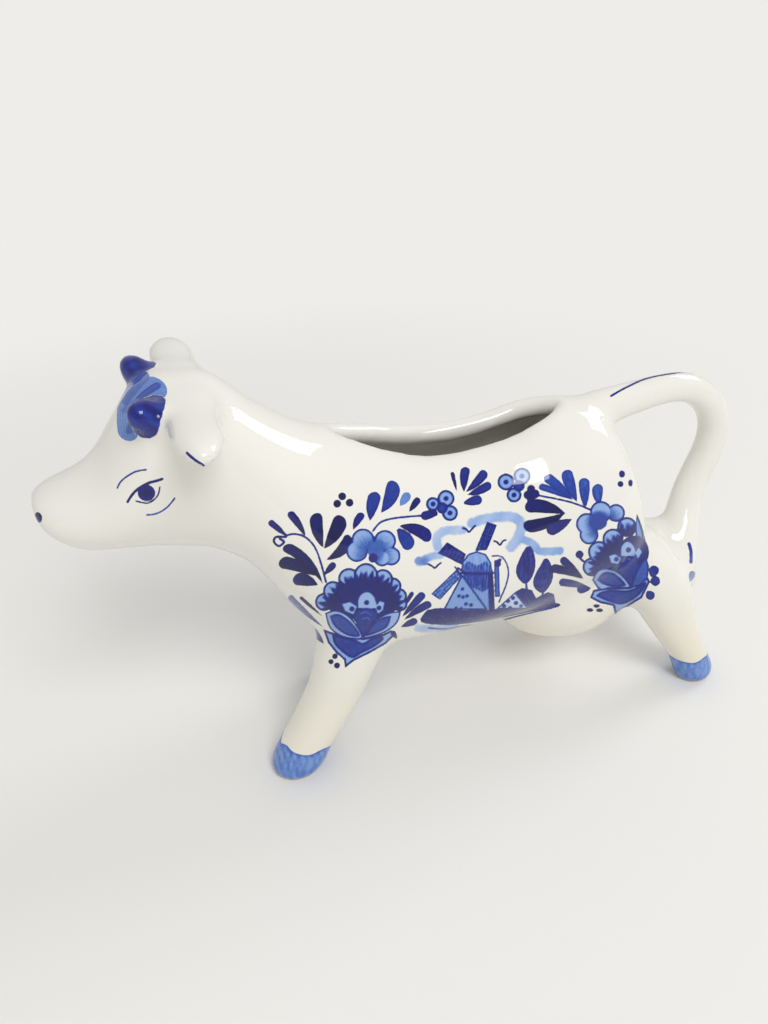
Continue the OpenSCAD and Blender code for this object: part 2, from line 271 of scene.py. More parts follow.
@dataclass(frozen=True)
class CobaltGlaze:
    """Clear glossy glaze over white slip, with cobalt oxide brushed under it and fired in.

    The glaze gives sharp reflections of the lamps. Thin cobalt fires to a sky blue and thick cobalt
    to a deep navy, so one measure of how thick it lies gives every blue of the painting.
    """

    white: str = "#EBEAE4"
    cream: str = "#E8E2CF"
    speck: str = "#8A7457"
    biscuit: str = "#CDBB9A"
    blues: tuple[str, ...] = ("#C9D5EA", "#86A6DC", "#5078C2", "#1E3FA0", "#0A1478", "#060B46")
    shares: tuple[float, ...] = (0.0, 0.22, 0.38, 0.6, 0.84, 1.0)
    bleed_mm: float = 0.09
    ragged_mm: float = 0.04
    gloss_roughness: float = 0.045
    bare_roughness: float = 0.75
    glaze_ior: float = 1.53
    wave_mm: float = 9.0
    wave_depth_mm: float = 0.12
    wave_strength: float = 0.35
    cloud_mm: float = 28.0
    creamy_below_mm: float = 45.0
    bristle_mm: float = 0.9
    bristle_share: float = 0.05
    speck_mm: float = 9.0
    speck_chance: float = 0.28
    speck_share: float = 0.6
    bare_mm: tuple[float, float] = (0.35, 0.8)

    def material(self) -> bpy.types.Material:
        """Builds the node tree."""
        material = bpy.data.materials.new("cobalt_painted_glazed_earthenware")
        s = Shader(material)
        place = s.add("ShaderNodeTexCoord").outputs["Object"]
        height = s.add("ShaderNodeSeparateXYZ", {0: place}).outputs["Z"]

        # The glaze is tinted cream in soft clouds low on the cow, fading out higher up
        cloud = s.add(
            "ShaderNodeTexNoise", {"Vector": place, "Scale": 1 / (self.cloud_mm * MM), "Detail": 3.0}
        )
        lower = s.add(
            "ShaderNodeMapRange", {0: height, 1: 0.0, 2: self.creamy_below_mm * MM, 3: 1.0, 4: 0.1},
            interpolation_type="SMOOTHSTEP",
        )
        creamy = s.add(
            "ShaderNodeMath", {0: cloud.outputs["Fac"], 1: lower.outputs[0]}, operation="MULTIPLY"
        )
        creamy = s.add("ShaderNodeMapRange", {0: creamy.outputs[0], 1: 0.0, 2: 0.55, 3: 0.0, 4: 1.0})

        # A few grains of iron in the clay burn through as small brown specks
        grit = s.add(
            "ShaderNodeTexVoronoi",
            {"Vector": place, "Scale": 1 / (self.speck_mm * MM), "Randomness": 1.0},
        )
        chance = s.add("ShaderNodeSeparateColor", {0: grit.outputs["Color"]}).outputs[0]
        reach = s.add(
            "ShaderNodeMapRange", {0: chance, 1: 1 - self.speck_chance, 2: 1.0, 3: 0.0, 4: 0.045}
        )
        near = s.add(
            "ShaderNodeMath", {0: reach.outputs[0], 1: grit.outputs["Distance"]}, operation="SUBTRACT"
        )
        speck = s.add(
            "ShaderNodeMapRange", {0: near.outputs[0], 1: 0.0, 2: 0.02, 3: 0.0, 4: self.speck_share}
        )

        # Cobalt: the thickness gives the blue, the bristles make it uneven and its edge ragged
        inside = s.add("ShaderNodeAttribute", attribute_name="edge").outputs["Fac"]
        thick = s.add("ShaderNodeAttribute", attribute_name="tone").outputs["Fac"]
        bristle = s.add(
            "ShaderNodeTexNoise",
            {"Vector": place, "Scale": 1 / (self.bristle_mm * MM), "Detail": 2.0, "Roughness": 0.6},
        ).outputs["Fac"]
        uneven = s.add(
            "ShaderNodeMapRange",
            {0: bristle, 1: 0.25, 2: 0.75, 3: 1 - self.bristle_share, 4: 1 + self.bristle_share},
        )
        laid = s.add("ShaderNodeMath", {0: thick, 1: uneven.outputs[0]}, operation="MULTIPLY")
        ramp = s.add("ShaderNodeValToRGB", {0: laid.outputs[0]})
        stops = ramp.color_ramp.elements
        for _ in self.shares[2:]:
            stops.new(0.5)
        for stop, share, colour in zip(stops, self.shares, self.blues):
            stop.position = share
            stop.color = rgb(colour)
        ragged = s.add(
            "ShaderNodeMapRange", {0: bristle, 1: 0.3, 2: 0.7, 3: -self.ragged_mm, 4: self.ragged_mm}
        )
        inside = s.add("ShaderNodeMath", {0: inside, 1: ragged.outputs[0]}, operation="ADD").outputs[0]
        stain = s.add(
            "ShaderNodeMapRange", {0: inside, 1: -self.bleed_mm, 2: self.bleed_mm, 3: 0.0, 4: 1.0},
            interpolation_type="SMOOTHSTEP",
        )

        # The soles were wiped clean of glaze before firing, and show matt biscuit
        low, high = (limit * MM for limit in self.bare_mm)
        bare = s.add("ShaderNodeMapRange", {0: height, 1: low, 2: high, 3: 1.0, 4: 0.0})

        body = rgb(self.white)
        for share, colour in (
            (creamy, rgb(self.cream)), (speck, rgb(self.speck)), (stain, ramp.outputs["Color"]),
            (bare, rgb(self.biscuit)),
        ):
            mix = s.add("ShaderNodeMix", {0: share.outputs[0], 6: body, 7: colour}, data_type="RGBA")
            body = mix.outputs[2]
        rough = s.add(
            "ShaderNodeMapRange",
            {0: bare.outputs[0], 1: 0.0, 2: 1.0, 3: self.gloss_roughness, 4: self.bare_roughness},
        )
        wave = s.add(
            "ShaderNodeTexNoise", {"Vector": place, "Scale": 1 / (self.wave_mm * MM), "Detail": 1.0}
        )
        bump = s.add(
            "ShaderNodeBump",
            {
                "Height": wave.outputs["Fac"], "Strength": self.wave_strength,
                "Distance": self.wave_depth_mm * MM,
            },
        )
        shader = s.add(
            "ShaderNodeBsdfPrincipled",
            {
                "Base Color": body, "Roughness": rough.outputs[0],
                "IOR": self.glaze_ior, "Normal": bump.outputs[0],
            },
        )
        s.add("ShaderNodeOutputMaterial", {"Surface": shader.outputs[0]})
        return material


@dataclass(frozen=True)
class StudioPaper:
    """Matt pale paper under the object, which takes its soft shadow."""

    colour: str = "#EEEDEA"
    roughness: float = 0.9
    fade_m: tuple[float, float] = (0.14, 0.42)

    def material(self) -> bpy.types.Material:
        """Builds the node tree."""
        material = bpy.data.materials.new("studio_paper")
        s = Shader(material)
        lit = s.add(
            "ShaderNodeBsdfPrincipled", {"Base Color": rgb(self.colour), "Roughness": self.roughness}
        )
        plain = s.add("ShaderNodeEmission", {"Color": rgb(self.colour), "Strength": 1.0})
        place = s.add("ShaderNodeTexCoord").outputs["Object"]
        away = s.add("ShaderNodeVectorMath", {0: place}, operation="LENGTH").outputs["Value"]
        far = s.add(
            "ShaderNodeMapRange", {0: away, 1: self.fade_m[0], 2: self.fade_m[1], 3: 0.0, 4: 1.0},
            interpolation_type="SMOOTHSTEP",
        )
        rays = s.add("ShaderNodeLightPath")
        share = s.add(
            "ShaderNodeMath", {0: far.outputs[0], 1: rays.outputs["Is Camera Ray"]}, operation="MULTIPLY"
        )
        mix = s.add("ShaderNodeMixShader", {0: share.outputs[0], 1: lit.outputs[0], 2: plain.outputs[0]})
        s.add("ShaderNodeOutputMaterial", {"Surface": mix.outputs[0]})
        return material


@dataclass(frozen=True)
class SoftBox:
    """A square lamp that looks at the cow.

    Attributes:
        place_m: Where it hangs.
        side_m: Its side.
        watts: Its power.
        aim_m: The place that it looks at.
    """

    place_m: tuple[float, float, float]
    side_m: float
    watts: float
    aim_m: tuple[float, float, float] = (0.0, 0.0, 0.05)

    def make(self, name: str) -> None:
        """Hangs the lamp.

        Args:
            name: The lamp's name.
        """
        data = bpy.data.lights.new(name, "AREA")
        data.size = self.side_m
        data.energy = self.watts
        lamp = bpy.data.objects.new(name, data)
        aim = Vector(self.aim_m) - Vector(self.place_m)
        turn = aim.to_track_quat("-Z", "Y").to_matrix().to_4x4()
        lamp.matrix_world = Matrix.Translation(self.place_m) @ turn
        bpy.context.scene.collection.objects.link(lamp)


@dataclass
class Studio:
    """Pale floor, white surroundings and soft lamps.

    Attributes:
        floor_m: The floor's side.
        world_level: Strength of the grey part of the light that comes from all round.
        plain_share: Share of the plain colour in that light; the eye sees the plain colour alone.
        plain: That colour.
        boxes: The lamps.
    """

    floor_m: float = 12.0
    world_level: float = 0.4
    plain_share: float = 0.5
    plain: str = "#EEEDEA"
    boxes: tuple[SoftBox, ...] = (
        SoftBox((0.1, -0.8, 1.0), 0.5, 6.5),
        SoftBox((0.95, 0.25, 0.75), 0.45, 2.6),
    )

    def make(self) -> None:
        """Builds the floor, the surroundings and the lamps."""
        bm = bmesh.new()
        bmesh.ops.create_grid(bm, x_segments=1, y_segments=1, size=self.floor_m / 2)
        floor = as_object(bm, "floor", StudioPaper().material())
        world = bpy.data.worlds.new("studio")
        bpy.context.scene.world = world
        s = Shader(world)
        rays = s.add("ShaderNodeLightPath")
        seen = s.add(
            "ShaderNodeMath", {0: rays.outputs["Is Camera Ray"], 1: self.plain_share}, operation="MAXIMUM"
        )
        seen = s.add(
            "ShaderNodeMath", {0: rays.outputs["Is Transmission Ray"], 1: seen.outputs[0]},
            operation="MAXIMUM",
        )
        lit = s.add("ShaderNodeBackground", {"Strength": self.world_level})
        plain = s.add("ShaderNodeBackground", {"Color": rgb(self.plain), "Strength": 1.0})
        mix = s.add("ShaderNodeMixShader", {0: seen.outputs[0], 1: lit.outputs[0], 2: plain.outputs[0]})
        s.add("ShaderNodeOutputWorld", {"Surface": mix.outputs[0]})
        for number, box in enumerate(self.boxes):
            box.make(f"soft_box_{number}")
        bpy.context.scene.view_settings.view_transform = "Standard"


def as_object(bm: bmesh.types.BMesh, name: str, material: bpy.types.Material) -> bpy.types.Object:
    """Turns a bmesh into a smooth object at the origin and frees it.

    Args:
        bm: The finished mesh.
        name: The piece's name.
        material: Its finish.

    Returns:
        The new object.
    """
    mesh = bpy.data.meshes.new(name)
    bm.to_mesh(mesh)
    bm.free()
    mesh.shade_smooth()
    if "lie" in mesh.attributes:
        lie = np.empty(len(mesh.vertices) * 3, dtype=np.float32)
        mesh.attributes["lie"].data.foreach_get("vector", lie)
        mesh.normals_split_custom_set_from_vertices(lie.reshape(-1, 3))
        for layer in ("lie", "seen"):
            mesh.attributes.remove(mesh.attributes[layer])
    mesh.materials.append(material)
    piece = bpy.data.objects.new(name, mesh)
    bpy.context.scene.collection.objects.link(piece)
    return piece


class Skin:
    """A mesh as arrays, for the sculpting that moves its points."""

    def __init__(self, bm: bmesh.types.BMesh) -> None:
        """Reads the mesh.

        Args:
            bm: A mesh of closed surfaces.
        """
        bm.verts.ensure_lookup_table()
        self.bm = bm
        self.at = np.array([v.co for v in bm.verts])
        self.edges = np.array([(e.verts[0].index, e.verts[1].index) for e in bm.edges])
        self.valence = np.bincount(self.edges.ravel(), minlength=len(self.at))[:, None]

    def pull(self, values: np.ndarray | None = None) -> np.ndarray:
        """Tells how far each point's value is from the mean of its neighbours.

        Args:
            values: Three numbers for each point, or none for the points' places.

        Returns:
            The way from each value to that mean.
        """
        values = self.at if values is None else values
        one, two = self.edges.T
        total = np.stack([
            np.bincount(one, column[two], len(values)) + np.bincount(two, column[one], len(values))
            for column in values.T
        ], axis=1)
        return total / self.valence - values

    def normals(self) -> np.ndarray:
        """Returns the outward direction at each point."""
        self.store()
        self.bm.normal_update()
        return np.array([v.normal for v in self.bm.verts])

    def soft_normals(self, rounds: int, share: np.ndarray, ways: np.ndarray | None = None) -> np.ndarray:
        """Evens out the outward directions, as thick glaze evens out the clay below it.

        Args:
            rounds: How often each direction nears those of its neighbours.
            share: Share of the way that it goes each time.
            ways: Directions to begin with, or none for the mesh's own.

        Returns:
            Directions of length one.
        """
        ways = self.normals() if ways is None else ways
        for _ in range(rounds):
            ways = ways + share[:, None] * self.pull(ways)
        return ways / np.linalg.norm(ways, axis=1, keepdims=True)

    def store(self) -> None:
        """Writes the points back to the mesh."""
        for vert, place in zip(self.bm.verts, self.at):
            vert.co = place

    def relax(self, rounds: int, share: float | np.ndarray = 0.5) -> None:
        """Evens out small steps and keeps the volume.

        Args:
            rounds: How often each point moves in and out again.
            share: Share of the way to the middle of the neighbours.
        """
        for _ in range(rounds):
            self.at += share * self.pull()
            self.at -= 1.06 * share * self.pull()

    def fillet(self, rounds: int, share: np.ndarray) -> None:
        """Fills the creases with soft slip: only points in a hollow crease move outwards.

        Args:
            rounds: How often the points move.
            share: How far each point may follow its neighbours, from 0 to 1.
        """
        for number in range(rounds):
            if number % 4 == 0:
                out = self.normals()
            pull = self.pull()
            rise = np.einsum("ij,ij->i", pull, out)
            self.at += pull * (share * (rise > 0))[:, None]


def along_curve(points: tuple[Pixel, ...], steps: int = 5) -> np.ndarray:
    """Runs a smooth curve through points.

    Args:
        points: Places that the brush passes.
        steps: Places given for each stretch.

    Returns:
        Places on the curve, one row each.
    """
    knots = np.array((points[0], *points, points[-1]), dtype=float)
    t = np.linspace(0, 1, steps, endpoint=False)[:, None]
    parts = []
    for a, b, c, d in zip(knots, knots[1:], knots[2:], knots[3:]):
        parts.append(
            0.5 * (2 * b + (c - a) * t + (2 * a - 5 * b + 4 * c - d) * t**2 + (3 * b - a - 3 * c + d) * t**3)
        )
    return np.vstack([*parts, knots[-1:]])


def away_from(line: np.ndarray, at: np.ndarray) -> np.ndarray:
    """Finds how far places are from a line of short stretches.

    Args:
        line: Places on the line, one row each.
        at: Places to measure, one row each.

    Returns:
        Distances and, in a second row, how far along the line the nearest place is, from 0 to 1.
    """
    best = np.full(len(at), np.inf)
    share = np.zeros(len(at))
    for number, (start, end) in enumerate(zip(line, line[1:])):
        way = end - start
        t = np.clip((at - start) @ way / max(way @ way, 1e-9), 0, 1)
        distance = np.hypot(*(at - start - t[:, None] * way).T)
        nearer = distance < best
        best = np.where(nearer, distance, best)
        share = np.where(nearer, (number + t) / (len(line) - 1), share)
    return np.stack([best, share])


@dataclass(frozen=True)
class Leaf:
    """One press of a pointed brush, round where it lands and pointed where it lifts.

    Attributes:
        lands: Pixel at which the round end begins.
        lifts: Pixel of the point.
        width: Widest place in pixels.
        tone: How thick the cobalt lies, from 0 to 1.
        bend: How far its middle bows aside, in pixels.
        blunt: Share of the width that is left where it lifts.
        soft: How many times softer its edge is.
        taper: Power with which the brush narrows while it lifts.
        pool: How much thicker the cobalt lies at the edge.
        drag: How much thicker it lies at the point.
    """

    lands: Pixel
    lifts: Pixel
    width: float
    tone: float = 0.86
    bend: float = 0.0
    blunt: float = 0.0
    soft: float = 1.0
    taper: float = 2.3
    pool: float = 0.10
    drag: float = 0.08

    def outline(self) -> np.ndarray:
        """Returns the places that span the stroke."""
        return np.array([self.lands, self.lifts])

    def margin(self) -> float:
        """Returns how far the stroke reaches beyond those places."""
        return self.width + abs(self.bend)

    def local(self, at: np.ndarray) -> tuple[np.ndarray, np.ndarray, float]:
        """Measures places along and across the stroke.

        Args:
            at: Pixels, one row each.

        Returns:
            Ways along and across, and the stroke's length.
        """
        start, end = np.array(self.lands), np.array(self.lifts)
        length = float(np.hypot(*(end - start)))
        along = (end - start) / length
        s = (at - start) @ along
        t = np.clip(s / length, 0, 1)
        return s, (at - start) @ np.array((-along[1], along[0])) - 4 * self.bend * t * (1 - t), length

    def depth(self, at: np.ndarray) -> np.ndarray:
        """Measures how far inside the stroke pixels lie.

        Args:
            at: Pixels, one row each.

        Returns:
            Depths in pixels, below 0 outside.
        """
        s, across, length = self.local(at)
        r = min(self.width, length) / 2
        lifting = np.clip((s - r) / max(length - r, 1e-6), 0, 1)
        side = 0.95 * (r * (1 - (1 - self.blunt) * lifting**self.taper) - np.abs(across))
        past = -np.hypot(s - length, np.maximum(np.abs(across) - self.blunt * r, 0))
        return np.where(s < r, r - np.hypot(s - r, across), np.where(s > length, past, side))

    def thick(self, at: np.ndarray, depth: np.ndarray) -> np.ndarray:
        """Tells how thick the cobalt lies, with the marks of the hairs along the stroke.

        Args:
            at: Pixels, one row each.
            depth: How far inside the stroke they lie, in pixels.

        Returns:
            Thicknesses from 0 to 1.
        """
        s, across, length = self.local(at)
        hairs = np.sin(across * 2.3 + self.lands[0]) + 0.7 * np.sin(across * 4.1 + s * 0.05 + self.lands[1])
        pooled = self.pool * (1 - between(0.5, 2.2, depth)) + self.drag * np.clip(s / length, 0, 1)
        return self.tone + (pooled - 0.05) * (self.tone > 0.55) + 0.03 * hairs


@dataclass(frozen=True)
class Line:
    """One drawn line of a thin brush.

    Attributes:
        points: Pixels that it passes.
        width: Its width in pixels.
        tone: How thick the cobalt lies.
        lifts: Share of the width that it loses towards its end.
        soft: How many times softer its edge is.
    """

    points: tuple[Pixel, ...]
    width: float = 2.0
    tone: float = 0.8
    lifts: float = 0.0
    soft: float = 1.0

    def outline(self) -> np.ndarray:
        """Returns the places that span the line."""
        return np.array(self.points)

    def margin(self) -> float:
        """Returns how far the line reaches beyond those places."""
        return self.width

    def depth(self, at: np.ndarray) -> np.ndarray:
        """Measures how far inside the line pixels lie.

        Args:
            at: Pixels, one row each.

        Returns:
            Depths in pixels, below 0 outside.
        """
        distance, share = away_from(along_curve(self.points), at)
        return self.width / 2 * (1 - self.lifts * share) - distance

    def thick(self, at: np.ndarray, depth: np.ndarray) -> np.ndarray:
        """Tells how thick the cobalt lies, with a slight unevenness.

        Args:
            at: Pixels, one row each.
            depth: How far inside the stroke they lie, in pixels; not used here.

        Returns:
            Thicknesses from 0 to 1.
        """
        return self.tone + ripple((Wave(0.03, (0.3, 0.2)),), at)


@dataclass(frozen=True)
class Dot:
    """A round or oval touch.

    Attributes:
        centre: Its middle in pixels.
        radius: Its half width.
        tone: How thick the cobalt lies.
        tall: Its height over its width.
        turn: How far it is turned, in degrees.
        heart: Where combed strokes that darken it come from, if they do.
        comb: Share of the way from the heart at which they end.
        dark: How thick the cobalt lies in them.
        blend: Width of the change from dark to pale, as such a share.
        soft: How many times softer its edge is.
    """

    centre: Pixel
    radius: float
    tone: float = 0.9
    tall: float = 1.0
    turn: float = 0.0
    heart: Pixel | None = None
    comb: float = 1.0
    dark: float = 0.9
    blend: float = 0.05
    soft: float = 1.0

    def outline(self) -> np.ndarray:
        """Returns the places that span the touch."""
        return np.array([self.centre])

    def margin(self) -> float:
        """Returns how far the touch reaches beyond them."""
        return self.radius * max(1.0, self.tall)

    def depth(self, at: np.ndarray) -> np.ndarray:
        """Measures how far inside the touch pixels lie.

        Args:
            at: Pixels, one row each.

        Returns:
            Depths in pixels, below 0 outside.
        """
        angle = math.radians(self.turn)
        away = at - np.array(self.centre)
        x = away[:, 0] * math.cos(angle) + away[:, 1] * math.sin(angle)
        y = (away[:, 1] * math.cos(angle) - away[:, 0] * math.sin(angle)) / self.tall
        return (self.radius - np.hypot(x, y)) * min(1.0, self.tall)

    def thick(self, at: np.ndarray, depth: np.ndarray) -> np.ndarray:
        """Tells how thick the cobalt lies, darker where strokes from the heart reach.

        Args:
            at: Pixels, one row each.
            depth: How far inside the stroke they lie, in pixels.

        Returns:
            Thicknesses from 0 to 1.
        """
        if self.heart is None:
            return np.full(len(at), self.tone) + 0.05 * (1 - between(0.3, 1.6, depth))
        away = at - np.array(self.heart)
        out = np.hypot(*away.T)
        full = math.dist(self.centre, self.heart)
        angle = np.arctan2(away[:, 1], away[:, 0])
        teeth = 0.05 * np.sin(angle * 46) + 0.035 * np.sin(angle * 29 + 1)
        light = between(self.comb - self.blend, self.comb + self.blend, out / full + teeth)
        streak = 0.06 * np.sin(angle * 62) + 0.04 * np.sin(angle * 37 + 2)
        return self.dark + streak + (self.tone - self.dark - streak) * light


@dataclass(frozen=True)
class Patch:
    """A filled shape.

    Attributes:
        corners: Pixels round it.
        tone: How thick the cobalt lies.
        rim: How thick it lies in the drawn outline, or none.
        rim_width: Width of that outline inside the shape.
        grid: Pixels between the light lines of a lattice, or none.
        hairs: Depth of upright brush marks.
        round: Whether the outline runs smoothly through its corners.
        soft: How many times softer its edge is.
    """

    corners: tuple[Pixel, ...]
    tone: float = 0.8
    rim: float | None = None
    rim_width: float = 1.8
    grid: float | None = None
    hairs: float = 0.0
    round: bool = False
    soft: float = 1.0

    def outline(self) -> np.ndarray:
        """Returns the places that span the shape."""
        return np.array(self.corners)

    def margin(self) -> float:
        """Returns how far the shape may bulge beyond them."""
        return 3.0

    def edge(self) -> np.ndarray:
        """Returns the closed outline."""
        closed = (*self.corners, self.corners[0])
        return along_curve(closed, 4) if self.round else np.array(closed, dtype=float)

    def depth(self, at: np.ndarray) -> np.ndarray:
        """Measures how far inside the shape pixels lie.

        Args:
            at: Pixels, one row each.

        Returns:
            Depths in pixels, below 0 outside.
        """
        line = self.edge()
        distance = away_from(line, at)[0]
        inside = np.zeros(len(at), dtype=bool)
        for (x0, y0), (x1, y1) in zip(line, line[1:]):
            if y0 != y1:
                across = (y0 > at[:, 1]) != (y1 > at[:, 1])
                inside ^= across & (at[:, 0] < (x1 - x0) * (at[:, 1] - y0) / (y1 - y0) + x0)
        return np.where(inside, distance, -distance)

    def thick(self, at: np.ndarray, depth: np.ndarray) -> np.ndarray:
        """Tells how thick the cobalt lies, with its outline, its lattice and its brush marks.

        Args:
            at: Pixels, one row each.
            depth: How far inside the stroke they lie, in pixels.

        Returns:
            Thicknesses from 0 to 1.
        """
        tone = np.full(len(at), self.tone)
        if self.hairs:
            tone += self.hairs * (np.sin(at[:, 0] * 2.1 + at[:, 1] * 0.15) + 0.6 * np.sin(at[:, 0] * 3.7))
        if self.grid:
            first = np.array(self.corners[1]) - np.array(self.corners[0])
            first = first / np.hypot(*first)
            away = at - np.array(self.corners[0])
            for way in (away @ first, away @ np.array((-first[1], first[0]))):
                gap = np.abs((way / self.grid + 0.5) % 1 - 0.5) * self.grid
                tone -= 0.24 * (1 - between(0.2, 0.8, gap))
        if self.rim is not None:
            tone += (self.rim - tone) * (1 - between(self.rim_width - 0.4, self.rim_width + 0.4, depth))
        return tone


Stroke = Leaf | Line | Dot | Patch
Lobes = tuple[tuple[Pixel, float], ...]


def cupped_flower(
    lobes: Lobes, heart: Pixel, comb: float, dark: float, tip: float, outline: float, line: float
) -> list[Stroke]:
    """Draws petals over each other, each outlined, pale at its tip and combed dark from the heart.

    Args:
        lobes: Middle and half width of each petal, in pixels.
        heart: Where its strokes come from.
        comb: Share of the way to a petal's middle at which the dark strokes end.
        dark: How thick the cobalt lies in them.
        tip: How thick it lies at the petals' tips.
        outline: How thick it lies in the outline.
        line: Width of the outline in pixels.

    Returns:
        The strokes in the order in which they are laid.
    """
    drawn: list[Stroke] = []
    for centre, radius in lobes:
        drawn += [
            Dot(centre, radius, outline),
            Dot(centre, radius - line, tip, heart=heart, comb=comb, dark=dark),
        ]
    return drawn


def washed_flower(lobes: Lobes, heart: Pixel, comb: float, dark: float) -> list[Stroke]:
    """Draws a flower whose outlined petals run into each other, washed darker towards the heart.

    Args:
        lobes: Middle and half width of each petal, in pixels.
        heart: Where the wash is darkest.
        comb: Share of the way to a petal's middle at which the wash is half as strong.
        dark: How thick the cobalt lies at the heart.

    Returns:
        The strokes in the order in which they are laid.
    """
    line, pale, blend, wash = 1.8, 0.2, 0.42, 9
    middle = np.mean([centre for centre, _ in lobes], axis=0)
    return [
        *(Dot(centre, radius, tone=0.76) for centre, radius in lobes),
        *(Dot(centre, radius - line, pale, heart=heart, comb=comb, dark=dark, blend=blend)
          for centre, radius in lobes),
        Dot((float(middle[0]), float(middle[1])), wash, dark, soft=2.0),
    ]


def eyed_flower(lobes: Lobes, centre: Pixel) -> list[Stroke]:
    """Draws a small flower of pale round petals with a dark eye in each.

    Args:
        lobes: Middle and half width of each petal, in pixels.
        centre: Middle of its dark heart.

    Returns:
        The strokes in the order in which they are laid.
    """
    line, eye, heart, core = 2, 2.3, 5.6, 3.0
    drawn: list[Stroke] = []
    for place, radius in lobes:
        drawn += [
            Dot(place, radius, tone=0.84), Dot(place, radius - line, tone=0.22), Dot(place, eye, tone=0.86),
        ]
    return [*drawn, Dot(centre, heart, tone=0.8), Dot(centre, core, tone=0.66)]


